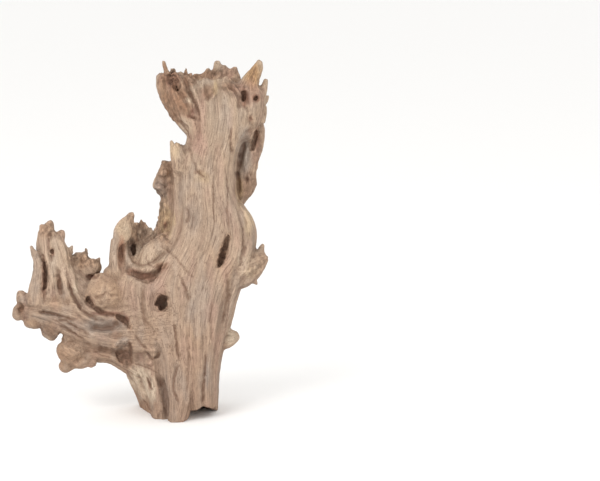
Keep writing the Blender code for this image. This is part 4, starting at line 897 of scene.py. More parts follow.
@dataclass
class StainsAndShade:
    """Where the weather changed the wood's colour, and where painted shade and shadow darken holes, slits,
    nooks and hollows.

    A stain is its place on the sheet, its half sizes there, its tone and its strength.
    """

    # Most of these are the weather's colours; the spots noted below are painted shade and shadow.
    front: Rows = (
        (172, 82, 13, 9, Tone.ROT, 0.75), (182, 97, 9, 13, Tone.UMBER, 0.75),
        (188, 112, 6, 9, Tone.UMBER, 0.6), (166, 68, 4, 8, Tone.UMBER, 0.8),
        (164, 92, 5, 12, Tone.TAN, 0.4), (188.5, 102, 4.5, 2.6, Tone.PALE, 1),
        (172, 108, 15, 20, Tone.UMBER, 0.7), (193.6, 113, 2, 3, Tone.ROT, 0.8),
        (191, 117.5, 4, 1.6, Tone.ROT, 0.7), (176, 123, 5, 3, Tone.UMBER, 0.5),
        (209, 94, 7, 7.5, Tone.UMBER, 0.6), (216, 88, 3, 8, Tone.STRAW, 0.6),
        (191, 80, 7, 8, Tone.UMBER, 0.6), (207, 76, 13, 4.5, Tone.UMBER, 0.5),
        (229, 74, 9, 7, Tone.PINK, 0.4), (231, 89, 10, 5, Tone.UMBER, 0.5),
        (253, 78, 9, 14, Tone.STRAW, 0.7), (254, 79, 8, 14, Tone.OCHRE, 0.65),
        # Painted shade: the dark spots on the three crown holes, last on this line and on the next.
        (250, 94, 14, 12, Tone.PINK, 0.6), (245.5, 98, 3.6, 9, Tone.ROT, 0.85),
        (257, 100, 4, 4, Tone.ROT, 0.8), (251, 120, 2, 3.6, Tone.ROT, 0.7),
        (227, 118, 7, 16, Tone.SILVER, 0.35), (199, 122, 7, 26, Tone.PINK, 0.4),
        (200, 147, 9, 14, Tone.PINK, 0.55), (245, 153, 7, 24, Tone.SILVER, 0.7),
        # Painted shade: the dark streak down the crown's right slit, first on this line.
        (258, 140, 3.6, 13, Tone.ROT, 0.6), (256, 156, 5, 14, Tone.PINK, 0.4),
        # Painted shade: the two darkest spots by the right shard's foot, last on this line and first on the
        # next.
        (247, 187, 12, 14, Tone.UMBER, 0.5), (238, 174, 3, 3, Tone.DEEP_SHADE, 0.9),
        (247.5, 179, 2.4, 3.4, Tone.DEEP_SHADE, 0.9), (240, 192, 4, 15, Tone.STRAW, 0.6),
        (175, 150, 7, 9, Tone.CREAM, 0.4), (166, 170, 11, 14, Tone.UMBER, 0.3),
        (161, 187, 7, 10, Tone.GREY, 0.75), (164, 206, 6, 15, Tone.GREY, 0.45),
        (199, 172.5, 5, 2.5, Tone.UMBER, 0.6), (194, 214, 9, 15, Tone.GREY, 0.4),
        (203, 178, 8, 6, Tone.STRAW, 0.3), (166, 220, 8, 17, Tone.STRAW, 0.7),
        # Painted shade: the dark streak on the short slit at the trunk's left, first on this line.
        (165.5, 224.5, 2.4, 4.5, Tone.ROT, 0.8), (249, 219, 5, 18, Tone.CREAM, 0.4),
        (126, 230, 11, 15, Tone.CREAM, 0.25), (146, 233, 9, 7, Tone.PALE, 0.6),
        # Painted shade: the dark spot on the hole near the prong's top, last on this line.
        (45, 231, 10, 8, Tone.TAN, 0.35), (50.4, 234.4, 1.8, 2.4, Tone.DEEP_SHADE, 0.9),
        # Painted shade: the darkest spot in the ear's hollow, and the brown shadow beside the flap.
        (132, 246, 4, 9, Tone.DEEP_SHADE, 0.7), (121.4, 252, 4, 16, Tone.BROWN_SHADE, 0.7),
        (147, 257, 19, 13, Tone.PALE, 0.3), (128.5, 261, 4, 13, Tone.SILVER, 0.4),
        # Painted shade: the dark crescent under the ear's shells above its lip, on this line and the next.
        (134, 272, 8, 4, Tone.ROT, 0.7), (147, 276.5, 12, 3.6, Tone.ROT, 0.85),
        (161, 269, 6, 5, Tone.ROT, 0.6), (161, 266, 8, 4, Tone.UMBER, 0.6),
        # Painted shade: the dark spot on the hole beside the burl, last on this line.
        (104, 292, 17, 17, Tone.TAN, 0.4), (89.5, 302, 4, 4.5, Tone.DEEP_SHADE, 0.8),
        # Painted shadow: the line under the burl and the nook below it.
        (108, 314, 17, 2.6, Tone.ROT, 0.7), (124, 321, 5, 5, Tone.ROT, 0.9),
        # Painted shade: the wide grey spot first on this line, below the burl on the branch.
        (105, 326, 22, 8, Tone.GREY, 0.7), (47, 318, 18, 5, Tone.GREY, 0.4),
        (75, 326, 22, 6, Tone.GREY, 0.45), (57, 302, 13, 7, Tone.TAN, 0.35),
        # Painted shade: the umber spot first on this line, in the end lump's hollow.
        (19.5, 309, 4, 6.5, Tone.UMBER, 0.8), (21.5, 300, 5, 5, Tone.SILVER, 0.5),
        (30, 323.6, 8, 4.5, Tone.TAN, 0.5), (47, 331, 9, 7, Tone.UMBER, 0.3),
        (69, 354, 15, 15, Tone.TAN, 0.4), (61, 356, 5, 7, Tone.UMBER, 0.4),
        # The reddish spot in the grotto, last on this line, is partly rot's colour and partly painted shade.
        (97, 352, 15, 8, Tone.UMBER, 0.3), (123, 357, 7.5, 8, Tone.ROT, 0.4),
        # Painted shade: the dark line down the crack at the grotto's edge, last on this line.
        (122, 344, 7, 6, Tone.SILVER, 0.6), (129.5, 356, 1.6, 11, Tone.DEEP_SHADE, 0.6),
        (136, 378, 9, 12, Tone.PALE, 0.8),
        (147, 392, 9, 16, Tone.PALE, 0.8), (164.5, 396, 3.6, 20, Tone.GREY, 0.4),
        (143, 407, 6, 7, Tone.UMBER, 0.7), (205.5, 374, 2.4, 18, Tone.GREY, 0.7),
        (200, 305, 11, 28, Tone.SILVER, 0.35), (211, 312, 8, 12, Tone.PINK, 0.3),
        (154, 294, 11, 20, Tone.PINK, 0.35), (255, 264, 9, 13, Tone.TAN, 0.5),
        (251, 273, 8, 5, Tone.STRAW, 0.4), (241, 260, 4, 12, Tone.PALE, 0.4),
        (231.5, 338, 7, 9, Tone.PALE, 1), (252, 266, 11, 14, Tone.PALE, 0.45),
        # Painted shade: the dark streaks down the prong's two slits, last on this line and first on the next.
        (58, 262, 20, 28, Tone.PALE, 0.25), (43.5, 277, 2.4, 20, Tone.ROT, 0.7),
        (58.5, 285, 2, 9, Tone.ROT, 0.6), (36, 268, 5, 20, Tone.SILVER, 0.35),
        # Painted shadow: the dark line under the pocket, second on this line.
        (75, 288, 3, 9, Tone.PALE, 0.6), (91, 277, 6, 2.4, Tone.ROT, 0.7), (85, 262, 14, 8, Tone.TAN, 0.4),
        # Painted shade: the dark spot on the hole near the prong's top and the streak on the slit in the
        # plate.
        (52.5, 252.5, 1.6, 3.6, Tone.ROT, 0.8), (148, 386, 2, 7, Tone.ROT, 0.6),
    )

    coarse_edge: Row = (9.0, 9.0, 22.0)
    fine_edge: Row = (3.5, 3.5, 8.0)
    coarse_reach: float = 0.35
    fine_reach: float = 0.2
    outer: float = 1.25
    soft: float = 0.7

    def paint(self, tone: np.ndarray, points: np.ndarray, facing: np.ndarray) -> np.ndarray:
        """Lays the weathered colours and the painted shade over the wood's tone.

        Args:
            tone: Linear colour of each point.
            points: Drawn points, in millimetres.
            facing: How much each point faces the viewer, between 0 and 1.

        Returns:
            The stained colours.
        """
        ragged = Noise(61)(points / self.coarse_edge) * self.coarse_reach
        ragged += Noise(62)(points / self.fine_edge) * self.fine_reach
        furthest = self.outer + self.coarse_reach + self.fine_reach
        for x, y, half_x, half_y, stain, strength in self.front:
            centre = SIGHT.from_sheet([(x, y)])[0]
            half = np.array((half_x, half_y)) * SIGHT.sheet_unit
            off = (points[:, [0, 2]] - centre) / half
            near = np.all(np.abs(off) < furthest, axis=1)
            radius = np.linalg.norm(off[near], axis=1) + ragged[near]
            share = strength * np.clip((self.outer - radius) / self.soft, 0, 1) * facing[near]
            tone[near] += (linear(stain.value) - tone[near]) * share[:, None]
        return tone


def add_node(tree: bpy.types.NodeTree, kind: str, settings: dict[str, Any] | None = None,
             links: dict[int | str, Any] | None = None) -> bpy.types.Node:
    """Adds a node to a material.

    Args:
        tree: The material's node tree.
        kind: The node's type.
        settings: Properties of the node.
        links: What goes into its inputs: a socket is linked, anything else is set.

    Returns:
        The new node.
    """
    node = tree.nodes.new(kind)
    for name, value in (settings or {}).items():
        setattr(node, name, value)
    for name, value in (links or {}).items():
        if isinstance(value, bpy.types.NodeSocket):
            tree.links.new(value, node.inputs[name])
        else:
            node.inputs[name].default_value = value
    return node


@dataclass(frozen=True)
class Fibre:
    """A layer of grain: how wide and long its streaks are, in millimetres."""

    width: float
    length: float
    detail: float
    shift: float


@dataclass(frozen=True)
class WeatheredWood:
    """Driftwood, sanded by water and bleached by the sun.

    It has no gloss left. The eye sees fine pale and dark fibres along each limb, thin dark drying cracks
    between them, and dust-pale crests over valleys darkened with painted shade.
    """

    name: str = "sun-bleached driftwood"
    fine: Fibre = Fibre(width=1.7, length=30.0, detail=4.0, shift=0.0)
    broad: Fibre = Fibre(width=6.0, length=170.0, detail=2.0, shift=31.0)
    check: Fibre = Fibre(width=3.6, length=95.0, detail=1.0, shift=67.0)
    speck_size: float = 1.6
    detail_share: float = 0.62
    usual: Row = (0.3, 0.7)
    fine_range: Row = (0.28, 0.72)
    fine_light: Row = (0.76, 1.22)
    broad_light: Row = (0.92, 1.08)
    speck_light: Row = (0.85, 1.13)
    check_middle: float = 0.5
    check_range: Row = (0.0, 0.02)
    check_dark: Row = (0.55, 0.0)
    speck_bump: float = 0.35
    specular: float = 0.25
    crack_colour: str = "#5e4436"
    # The colour of the painted shade in valleys and cracks.
    valley_shade_colour: str = "#6b4f3f"
    roughness_low: float = 0.74
    roughness_high: float = 0.93
    bump_height: float = 0.8

    def streaks(self, tree: bpy.types.NodeTree, fibre: Fibre) -> bpy.types.NodeSocket:
        """Draws a layer of grain along the fibres of the two limbs nearest to each face.

        Args:
            tree: The material's node tree.
            fibre: The layer.

        Returns:
            The layer's value, about 0.5 on average.
        """
        values = []
        for name in ("fibre_a", "fibre_b"):
            place = add_node(tree, "ShaderNodeAttribute", {"attribute_name": name}).outputs["Vector"]
            size = (1 / fibre.width, 1 / fibre.width, 1 / fibre.length)
            shift = (fibre.shift, fibre.shift, fibre.shift)
            cells = add_node(tree, "ShaderNodeVectorMath", {"operation": "MULTIPLY_ADD"},
                             {0: place, 1: size, 2: shift}).outputs[0]
            noise = add_node(tree, "ShaderNodeTexNoise", None,
                             {"Vector": cells, "Scale": 1.0, "Detail": fibre.detail,
                              "Roughness": self.detail_share})
            values.append(noise.outputs[0])
        share = add_node(tree, "ShaderNodeAttribute", {"attribute_name": "fibre_mix"}).outputs["Fac"]
        return add_node(tree, "ShaderNodeMix", {"data_type": "FLOAT"},
                        {0: share, 2: values[0], 3: values[1]}).outputs[0]

    def ranged(self, tree: bpy.types.NodeTree, value: bpy.types.NodeSocket, source: Row,
               target: Row) -> bpy.types.NodeSocket:
        """A value brought from one range to another and held inside it."""
        node = add_node(tree, "ShaderNodeMapRange", None,
                        {0: value, 1: source[0], 2: source[1], 3: target[0], 4: target[1]})
        return node.outputs[0]

    def material(self) -> bpy.types.Material:
        """Builds the finish.

        Returns:
            The material.
        """
        made = bpy.data.materials.new(self.name)
        made.use_nodes = True
        tree = made.node_tree
        shader = tree.nodes["Principled BSDF"]
        fine, broad = self.streaks(tree, self.fine), self.streaks(tree, self.broad)
        check = self.streaks(tree, self.check)
        tone = add_node(tree, "ShaderNodeAttribute", {"attribute_name": "tone"}).outputs["Color"]
        # The valley attribute is painted shade in cracks, dips and hollows.
        depth = add_node(tree, "ShaderNodeAttribute", {"attribute_name": "valley"}).outputs["Fac"]
        place = add_node(tree, "ShaderNodeTexCoord").outputs["Object"]
        speck = add_node(tree, "ShaderNodeTexNoise", None,
                         {"Vector": place, "Scale": 1 / (self.speck_size * MM), "Detail": 2.0}).outputs[0]
        light = self.ranged(tree, fine, self.fine_range, self.fine_light)
        wide = self.ranged(tree, broad, self.usual, self.broad_light)
        dots = self.ranged(tree, speck, self.usual, self.speck_light)
        for value in (wide, dots):
            light = add_node(tree, "ShaderNodeMath", {"operation": "MULTIPLY"},
                             {0: light, 1: value}).outputs[0]
        colour = add_node(tree, "ShaderNodeVectorMath", {"operation": "SCALE"},
                          {0: tone, "Scale": light}).outputs[0]
        line = add_node(tree, "ShaderNodeMath", {"operation": "SUBTRACT"},
                        {0: check, 1: self.check_middle}).outputs[0]
        line = add_node(tree, "ShaderNodeMath", {"operation": "ABSOLUTE"}, {0: line}).outputs[0]
        thin = self.ranged(tree, line, self.check_range, self.check_dark)
        crack = (*linear(self.crack_colour), 1.0)
        valley = (*linear(self.valley_shade_colour), 1.0)
        colour = add_node(tree, "ShaderNodeMix", {"data_type": "RGBA"},
                          {0: thin, 6: colour, 7: crack}).outputs[2]
        # Painted shade: mixes towards the valley shade colour by the valley attribute.
        colour = add_node(tree, "ShaderNodeMix", {"data_type": "RGBA"},
                          {0: depth, 6: colour, 7: valley}).outputs[2]
        rough = self.ranged(tree, fine, self.usual, (self.roughness_high, self.roughness_low))
        height = add_node(tree, "ShaderNodeMath", {"operation": "MULTIPLY_ADD"},
                          {0: speck, 1: self.speck_bump, 2: fine}).outputs[0]
        height = add_node(tree, "ShaderNodeMath", {"operation": "SUBTRACT"}, {0: height, 1: thin}).outputs[0]
        bump = add_node(tree, "ShaderNodeBump", None,
                        {"Strength": 1.0, "Distance": self.bump_height * MM, "Height": height}).outputs[0]
        tree.links.new(colour, shader.inputs["Base Color"])
        tree.links.new(rough, shader.inputs["Roughness"])
        tree.links.new(bump, shader.inputs["Normal"])
        shader.inputs["Specular IOR Level"].default_value = self.specular
        return made


def select_only(*objects: bpy.types.Object) -> None:
    """Selects these objects and nothing else, and makes the first one active."""
    bpy.ops.object.select_all(action="DESELECT")
    for obj in objects:
        obj.select_set(True)
    bpy.context.view_layer.objects.active = objects[0]


def object_of(limbs: Iterable[Limb], name: str) -> bpy.types.Object:
    """Makes an object of closed tubes that still overlap.

    A drawn limb's rings are all different, so its tube is put together from them point by point.

    Args:
        limbs: The tubes.
        name: The object's name.

    Returns:
        The object, in drawing millimetres.
    """
    bm = bmesh.new()
    for limb in limbs:
        limb.add_to(bm)
    bmesh.ops.recalc_face_normals(bm, faces=bm.faces)
    mesh = bpy.data.meshes.new(name)
    bm.to_mesh(mesh)
    bm.free()
    obj = bpy.data.objects.new(name, mesh)
    bpy.context.scene.collection.objects.link(obj)
    return obj


def apply_modifier(obj: bpy.types.Object, kind: str, **settings: Any) -> None:
    """Adds a modifier with its settings and applies it."""
    modifier = obj.modifiers.new(kind.lower(), kind)
    for name, value in settings.items():
        setattr(modifier, name, value)
    select_only(obj)
    bpy.ops.object.modifier_apply(modifier=modifier.name)


def grow(obj: bpy.types.Object, voxel: float) -> None:
    """Grows overlapping shapes into one skin."""
    apply_modifier(obj, "REMESH", mode="VOXEL", voxel_size=voxel)


def carve(obj: bpy.types.Object, cutter: bpy.types.Object) -> None:
    """Takes the cutter's volume out of the object and removes the cutter."""
    apply_modifier(obj, "BOOLEAN", operation="DIFFERENCE", solver="MANIFOLD", object=cutter)
    bpy.data.objects.remove(cutter)


def keep_whole(obj: bpy.types.Object) -> bpy.types.Object:
    """Drops the crumbs that lie loose from the rest of an object, and keeps the rest under its name."""
    name = obj.name
    select_only(obj)
    bpy.ops.object.mode_set(mode="EDIT")
    bpy.ops.mesh.select_all(action="SELECT")
    bpy.ops.mesh.separate(type="LOOSE")
    bpy.ops.object.mode_set(mode="OBJECT")
    pieces = sorted(bpy.context.selected_objects, key=lambda piece: len(piece.data.vertices))
    for crumb in pieces[:-1]:
        bpy.data.objects.remove(crumb)
    pieces[-1].name = name
    return pieces[-1]


def points_of(mesh: bpy.types.Mesh, what: str = "co") -> np.ndarray:
    """The mesh's points, or with "normal" their normals."""
    values = np.empty(len(mesh.vertices) * 3)
    mesh.vertices.foreach_get(what, values)
    return values.reshape(-1, 3)


def put_points(mesh: bpy.types.Mesh, points: np.ndarray) -> None:
    """Moves the mesh's points."""
    mesh.vertices.foreach_set("co", np.ascontiguousarray(points, float).ravel())
    mesh.update()


def edges_of(mesh: bpy.types.Mesh) -> np.ndarray:
    """The two points of each edge."""
    values = np.empty(len(mesh.edges) * 2, np.int32)
    mesh.edges.foreach_get("vertices", values)
    return values.reshape(-1, 2)


def triangles_of(mesh: bpy.types.Mesh) -> np.ndarray:
    """The three points of each face of a mesh that has triangles alone."""
    values = np.empty(len(mesh.loops), np.int32)
    mesh.loops.foreach_get("vertex_index", values)
    return values.reshape(-1, 3)


def smoothed(values: np.ndarray, edges: np.ndarray, rounds: int) -> np.ndarray:
    """Averages the points' values with their neighbours'.

    Args:
        values: One row for each point.
        edges: The two points of each edge.
        rounds: How often.

    Returns:
        The averaged values.
    """
    count = np.bincount(edges.ravel(), minlength=len(values)).clip(1)[:, None]
    for _ in range(rounds):
        total = np.column_stack([
            np.bincount(edges[:, 0], column[edges[:, 1]], len(values))
            + np.bincount(edges[:, 1], column[edges[:, 0]], len(values)) for column in values.T])
        values = (values + total / count) / 2
    return values


@dataclass
class Driftwood:
    """The whole stump: grows the skin, presses the relief, and dresses it.

    Sizes are in millimetres on the drawing. A knot is its place across and up, and its radius. A knob wave is
    its rise and how it turns with the knob's own three axes and with its place. Patches and flecks drift to
    their first tone where the noise is high and to their second where it is low.
    """

    trunk: Trunk = field(default_factory=Trunk)
    branch: Branch = field(default_factory=Branch)
    crown: Crown = field(default_factory=Crown)
    ear: Ear = field(default_factory=Ear)
    growths: Growths = field(default_factory=Growths)
    relief: Relief = field(default_factory=Relief)
    stains_and_shade: StainsAndShade = field(default_factory=StainsAndShade)
    finish: WeatheredWood = field(default_factory=WeatheredWood)
    voxel: float = 1.5
    quick_voxel: float = 2.4
    most_triangles: int = 190000
    hole_voxel: float = 1.2
    fibre_margin: float = 30.0
    least_weight: float = 1e-6
    knots: Rows = ((-25, 181, 11), (67, 254, 9))
    knot_stretch: float = 1.6
    knob_waves: Rows = ((0.06, 3.1, 0.0, 2.3, 0.05, 0.0), (0.05, -3.7, 4.3, 0.0, 0.0, 0.07))
    press_facing: Row = (2.5, 0.2)
    paint_facing: Row = (3.0, 0.6)
    floor_snap: float = 0.0004
    tone_heights: Row = (0, 260, 330, 540)
    patch_size: Row = (38.0, 38.0, 90.0)
    fleck_size: Row = (15.0, 15.0, 48.0)
    patch_tones: tuple[tuple[Tone, float], ...] = ((Tone.GREY, 0.4), (Tone.TAN, 0.35))
    fleck_tones: tuple[tuple[Tone, float], ...] = ((Tone.PINK, 0.4), (Tone.SILVER, 0.3))
    patch_gain: float = 1.6
    patch_start: float = 0.15
    rot_and_hollow_shade: float = 0.35
    mottle_size: Row = (5.5, 5.5, 9.0)
    speckle_share: float = 0.6
    speckle_scale: float = 2.1
    mottle_gain: float = 0.75
    mottle_drop: float = 0.04
    mottle_range: Row = (-0.36, 0.24)
    crest_light: float = 0.1
    crest_height: float = 0.35
    crest_least: float = -0.5
    # Painted shade in dips and cracks: the depth for full shade and its share, finely and broadly; then the
    # cracks' share and the most shade.
    fine_valley_shade: Row = (0.4, 0.2)
    broad_valley_shade: Row = (2.6, 0.22)
    crack_shade: float = 0.7
    deepest_valley_shade: float = 0.8
    name: str = "weathered_stump"

    def limbs(self) -> dict[str, Limb]:
        """All limbs that the body is grown from, by name."""
        return self.trunk.limbs() | self.ear.limbs() | self.crown.limbs() | self.branch.limbs()

    def add_knobs(self) -> list[bpy.types.Object]:
        """Adds the lumps, uneven as old calluses are."""
        made = []
        for x, u, y, half_x, half_u, half_y in self.growths.knobs:
            bpy.ops.mesh.primitive_ico_sphere_add(subdivisions=4, radius=1.0)
            lump = bpy.context.object
            a, b, c = points_of(lump.data).T
            swell = 1 + sum(rise * np.sin(wa * a + wb * b + wc * c + wx * x + wu * u)
                            for rise, wa, wb, wc, wx, wu in self.knob_waves)
            put_points(lump.data, np.column_stack((x + a * half_x * swell, y + b * half_y * swell,
                                                   u + c * half_u * swell)))
            made.append(lump)
        return made

    def skin(self, limbs: dict[str, Limb], voxel: float) -> bpy.types.Object:
        """Grows limbs, knobs and splinters into one skin and cuts the hollows.

        Args:
            limbs: The limbs, by name.
            voxel: How fine the skin is, in millimetres.

        Returns:
            The object, in drawing millimetres.
        """
        wood = object_of([*limbs.values(), *(shard(*row) for row in self.growths.shards)], self.name)
        knobs = self.add_knobs()
        select_only(wood, *knobs)
        bpy.ops.object.join()
        grow(wood, voxel)
        hollows = object_of(self.ear.hollows() + self.crown.hollows(), "hollows")
        grow(hollows, voxel)
        carve(wood, hollows)
        inside = object_of(self.ear.inside(), "inside")
        select_only(wood, inside)
        bpy.ops.object.join()
        grow(wood, voxel)
        holes = object_of(self.growths.holes_and_slits(), "holes")
        grow(holes, min(self.hole_voxel, voxel))
        carve(wood, holes)
        grow(wood, voxel)
        return wood

    def shared_fibres(self, points: np.ndarray, limbs: dict[str, Limb]) -> tuple[np.ndarray, np.ndarray]:
        """Works out how much each limb's fibres count at each point, and the place along them.

        Args:
            points: Drawn points, in millimetres.
            limbs: The limbs, by name.

        Returns:
            Weights, one row for each limb, and places, one block for each limb.
        """
        bent = self.bent_round_knots(points)
        weights = np.zeros((len(limbs), len(points)), np.float32)
        places = np.zeros((len(limbs), len(points), 3), np.float32)
        for number, limb in enumerate(limbs.values()):
            near = np.arange(len(points))
            if not limb.skin.level:
                reach = limb.path[:, 3:5].max() + self.fibre_margin
                low, high = limb.centres.min(axis=0) - reach, limb.centres.max(axis=0) + reach
                near = np.flatnonzero(np.all((points > low) & (points < high), axis=1))
            out, place = limb.fibres(bent[near])
            weights[number, near] = np.exp(-out / self.relief.fibre_reach)
            places[number, near] = place
        weights[0] += self.least_weight
        return weights, places

    def bent_round_knots(self, points: np.ndarray) -> np.ndarray:
        """Points shifted sideways so that fibres drawn through them part round the knot holes."""
        bent = points.copy()
        for x, u, radius in self.knots:
            across, up = points[:, 0] - x, (points[:, 2] - u) / self.knot_stretch
            far = np.maximum(across ** 2 + up ** 2, radius ** 2)
            bent[:, 0] -= across * radius ** 2 / far
        return bent

    def facing(self, normals: np.ndarray, steps: Row) -> np.ndarray:
        """How much each point counts as facing the viewer, by the gain and the base that are given."""
        gain, base = steps
        return np.clip(-normals[:, 1] * gain + base, 0, 1)

    def press(self, mesh: bpy.types.Mesh, limbs: dict[str, Limb]) -> None:
        """Presses flutes, marks and rot into the skin."""
        points, normals = points_of(mesh), points_of(mesh, "normal")
        weights, places = self.shared_fibres(points, limbs)
        push, total = np.zeros(len(points)), weights.sum(axis=0)
        for number, (name, weight, place) in enumerate(zip(limbs, weights, places)):
            near = np.flatnonzero(weight > self.relief.least_share)
            calm = self.relief.smoothed.get(name, 1.0)
            for seed, (width, length, crest, valley) in zip(self.relief.flute_seeds, self.relief.flutes):
                size = (width, width, length)
                value = Noise(seed)((place[near] + number * LIMB_SHIFT) / size)
                rise = crest * np.abs(value) ** self.relief.flute_sharpness - valley
                push[near] += rise * calm * weight[near] / total[near]
        facing = self.facing(normals, self.press_facing)
        height, _ = self.relief.pressed(points[:, [0, 2]])
        push += height * facing
        rotten = self.rot(points)
        for layer, (size, length, rise) in enumerate(self.relief.rot_lumps):
            torn = np.abs(Noise(20 + layer)(points / (size, size, length)))
            push += rotten * rise * (self.relief.rot_crest * torn ** self.relief.rot_power
                                     - self.relief.rot_sink)
        push += self.relief.roughness * Noise(30)(points / self.relief.rough_size)
        put_points(mesh, points + normals * push[:, None])

    def rot(self, points: np.ndarray) -> np.ndarray:
        """How rotten the wood is at each point: in the hollows and at the torn ends, between 0 and 1."""
        share = np.zeros(len(points))
        cutters = self.ear.hollows() + self.crown.hollows() + self.growths.holes_and_slits()
        for cutter in cutters:
            reach = cutter.path[:, 3:5].max() + self.relief.rot_reach
            low, high = cutter.centres.min(axis=0) - reach, cutter.centres.max(axis=0) + reach
            near = np.flatnonzero(np.all((points > low) & (points < high), axis=1))
            out, _ = cutter.fibres(points[near])
            fade = 1 - (out - self.relief.rot_full) / self.relief.rot_fade
            share[near] = np.maximum(share[near], np.clip(fade, 0, 1))
        for x, y, half_x, half_y, amount in self.relief.sound + self.relief.rotten:
            centre = SIGHT.from_sheet([(x, y)])[0]
            half = np.array((half_x, half_y)) * SIGHT.sheet_unit
            radius = np.linalg.norm((points[:, [0, 2]] - centre) / half, axis=1)
            inside = np.clip((self.relief.place_outer - radius) / self.relief.place_soft, 0, 1)
            share = np.maximum(share, amount * inside) if amount > 0 else share * (1 - inside)
        return share

    def stand(self, wood: bpy.types.Object) -> None:
        """Puts the skin in the world and cuts its foot flat on the floor."""
        mesh = wood.data
        points = SIGHT.place(points_of(mesh))
        points[np.abs(points[:, 2]) < self.floor_snap, 2] = 0.0
        put_points(mesh, points)
        bm = bmesh.new()
        bm.from_mesh(mesh)
        geometry = bm.verts[:] + bm.edges[:] + bm.faces[:]
        bmesh.ops.bisect_plane(bm, geom=geometry, dist=1e-6, plane_co=(0, 0, 0), plane_no=(0, 0, -1),
                               clear_outer=True)
        rim = [edge for edge in bm.edges if edge.is_boundary]
        bmesh.ops.triangle_fill(bm, use_beauty=True, edges=rim, normal=(0, 0, -1))
        bmesh.ops.triangulate(bm, faces=bm.faces[:])
        bmesh.ops.recalc_face_normals(bm, faces=bm.faces[:])
        bm.to_mesh(mesh)
        bm.free()

    def lay_fibres(self, mesh: bpy.types.Mesh, points: np.ndarray, limbs: dict[str, Limb]) -> None:
        """Keeps, on the corners of each face, their places along the fibres of the two limbs nearest to it.

        Args:
            mesh: The finished mesh, all triangles.
            points: Its points on the drawing.
            limbs: The limbs, by name.
        """
        weights, places = self.shared_fibres(points, limbs)
        corners = triangles_of(mesh)
        of_face = weights[:, corners].mean(axis=2)
        pair = np.sort(np.argsort(of_face, axis=0)[-2:], axis=0)
        first, second = (np.repeat(row, 3) for row in pair)
        vertex = corners.ravel()
        weight_a, weight_b = weights[first, vertex], weights[second, vertex]
        mix = weight_b / np.maximum(weight_a + weight_b, 1e-9)
        for name, which in (("fibre_a", first), ("fibre_b", second)):
            layer = mesh.attributes.new(name, "FLOAT_VECTOR", "CORNER")
            shifted = places[which, vertex] + which[:, None] * LIMB_SHIFT
            layer.data.foreach_set("vector", shifted.ravel())
        mesh.attributes.new("fibre_mix", "FLOAT", "CORNER").data.foreach_set("value", mix)

    def colour(self, mesh: bpy.types.Mesh, points: np.ndarray) -> None:
        """Keeps each point's tone, and painted shade for its cracks and for how deep it lies between its
        neighbours, on the mesh.
        """
        normals = points_of(mesh, "normal")
        edges = edges_of(mesh)
        near = smoothed(points, edges, 5)
        wide = smoothed(near, edges, 40)
        fine = np.einsum("ij,ij->i", points - near, normals)
        broad = np.einsum("ij,ij->i", points - wide, normals)
        heart, low, high = (linear(tone.value) for tone in (Tone.HEART, Tone.LOW, Tone.HIGH))
        share = np.interp(points[:, 2], self.tone_heights, (0, 1, 1, 2))[:, None]
        tone = np.where(share < 1, low + (heart - low) * share, heart + (high - heart) * (share - 1))
        patches = Noise(41)(points / self.patch_size)
        flecks = Noise(42)(points / self.fleck_size)
        for noise, tones in ((patches, self.patch_tones), (flecks, self.fleck_tones)):
            for way, (stain, strength) in zip((1, -1), tones):
                amount = np.clip(way * noise * self.patch_gain - self.patch_start, 0, 1)[:, None]
                tone += (linear(stain.value) - tone) * amount * strength
        facing = self.facing(normals, self.paint_facing)
        tone = self.stains_and_shade.paint(tone, points, facing)
        rotten = self.rot(points)[:, None]
        # Hollow walls and rotten places drift towards umber: rot's own colour, and painted shade in the
        # hollows.
        tone += (linear(Tone.UMBER.value) - tone) * rotten * self.rot_and_hollow_shade
        mottle = Noise(43)(points / self.mottle_size)
        mottle += self.speckle_share * Noise(44)(points / self.mottle_size * self.speckle_scale)
        mottle = np.clip(mottle * self.mottle_gain - self.mottle_drop, *self.mottle_range)
        tone *= 1 + rotten * mottle[:, None]
        tone *= 1 + np.clip(fine / self.crest_height, self.crest_least, 1)[:, None] * self.crest_light
        # Painted shade: darker in the drawn cracks and sunk marks that face the viewer, and where the surface
        # lies below its neighbours, finely and broadly.
        _, crack = self.relief.pressed(points[:, [0, 2]])
        valley = crack * facing * self.crack_shade
        for height, (depth, share) in ((fine, self.fine_valley_shade), (broad, self.broad_valley_shade)):
            valley += np.clip(-height / depth, 0, 1) * share
        layer = mesh.attributes.new("tone", "FLOAT_COLOR", "POINT")
        layer.data.foreach_set("color", np.column_stack((tone, np.ones(len(tone)))).ravel())
        # Stored as the valley attribute: painted shade that the finish mixes in.
        valley = np.clip(valley, 0, self.deepest_valley_shade)
        mesh.attributes.new("valley", "FLOAT", "POINT").data.foreach_set("value", valley)

    def build(self) -> bpy.types.Object:
        """Builds the stump.

        Returns:
            The finished piece.
        """
        limbs = self.limbs()
        voxel = self.voxel
        wood = self.skin(limbs, voxel)
        log.info("skin: %d points", len(wood.data.vertices))
        self.press(wood.data, limbs)
        grow(wood, voxel)
        triangles = sum(len(face.vertices) - 2 for face in wood.data.polygons)
        if triangles > self.most_triangles:
            apply_modifier(wood, "DECIMATE", ratio=self.most_triangles / triangles)
        wood = keep_whole(wood)
        self.stand(wood)
        points = SIGHT.draw(points_of(wood.data))
        self.lay_fibres(wood.data, points, limbs)
        self.colour(wood.data, points)
        wood.data.materials.clear()
        wood.data.materials.append(self.finish.material())
        select_only(wood)
        bpy.ops.object.shade_smooth()
        log.info("%s: %d triangles", wood.name, len(wood.data.polygons))
        return wood


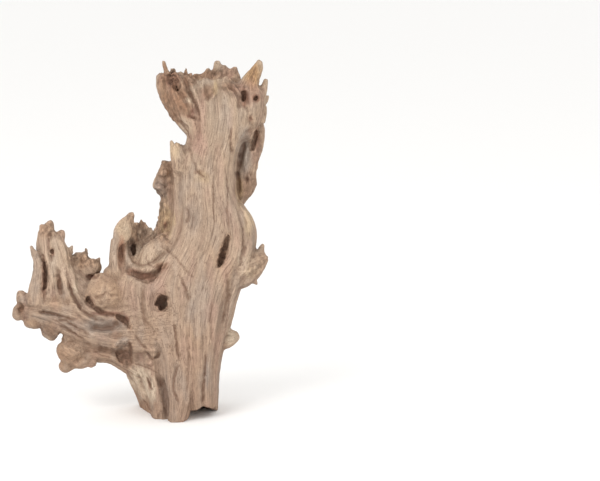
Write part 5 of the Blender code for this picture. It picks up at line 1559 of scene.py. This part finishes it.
@dataclass
class Studio:
    """The pale floor, the soft light and the camera."""

    floor_size: float = 60.0
    floor_colour: str = "#f4f3f1"
    sky: float = 1.05
    key_place: tuple[float, float, float] = (-1.7, -2.6, 2.3)
    key_power: float = 70.0
    key_size: float = 1.8
    fill_place: tuple[float, float, float] = (2.2, -2.4, 1.2)
    fill_power: float = 18.0
    camera_place: tuple[float, float, float] = (0.187, -3.716, 0.8535)
    camera_down: float = math.radians(9.0)
    lens: float = 150.0
    lamp_aim: tuple[float, float, float] = (-0.05, 0.0, 0.27)
    floor_roughness: float = 0.95

    def floor(self) -> bpy.types.Object:
        """Lays the floor."""
        bpy.ops.object.select_all(action="DESELECT")
        bpy.ops.mesh.primitive_plane_add(size=self.floor_size)
        plane = bpy.context.object
        plane.name = "floor"
        material = bpy.data.materials.new("matt white paper")
        material.use_nodes = True
        shader = material.node_tree.nodes["Principled BSDF"]
        shader.inputs["Base Color"].default_value = (*linear(self.floor_colour), 1.0)
        shader.inputs["Roughness"].default_value = self.floor_roughness
        plane.data.materials.append(material)
        return plane

    def lamp(self, name: str, place: tuple[float, float, float], power: float, size: float) -> None:
        """Hangs a soft square lamp that points at the stump.

        Args:
            name: The lamp's name.
            place: Where it hangs, in metres.
            power: Its power in watts.
            size: Its side in metres.
        """
        light = bpy.data.lights.new(name, "AREA")
        light.energy, light.size = power, size
        lamp = bpy.data.objects.new(name, light)
        bpy.context.scene.collection.objects.link(lamp)
        lamp.location = place
        aim = Vector(self.lamp_aim) - Vector(place)
        lamp.rotation_euler = aim.to_track_quat("-Z", "Y").to_euler()

    def build(self) -> None:
        """Sets up floor, light and camera."""
        self.floor()
        self.lamp("key", self.key_place, self.key_power, self.key_size)
        self.lamp("fill", self.fill_place, self.fill_power, self.key_size)
        scene = bpy.context.scene
        world = bpy.data.worlds.new("soft white room")
        world.use_nodes = True
        background = world.node_tree.nodes["Background"]
        background.inputs["Color"].default_value = (1.0, 1.0, 1.0, 1.0)
        background.inputs["Strength"].default_value = self.sky
        scene.world = world
        scene.view_settings.view_transform = "Standard"
        data = bpy.data.cameras.new("camera")
        data.lens = self.lens
        camera = bpy.data.objects.new("camera", data)
        scene.collection.objects.link(camera)
        camera.location = self.camera_place
        camera.rotation_euler = (math.pi / 2 - self.camera_down, 0.0, 0.0)
        scene.camera = camera
        log.info("studio: floor, two lamps, camera")


def main() -> None:
    """Builds the stump in its studio and ties it to the frame."""
    logging.basicConfig(level=logging.INFO, format="%(name)s: %(message)s")
    Studio().build()
    stump = Driftwood().build()
    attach(stump, BODY)
    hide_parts(NODE)


if __name__ == "__main__":
    main()
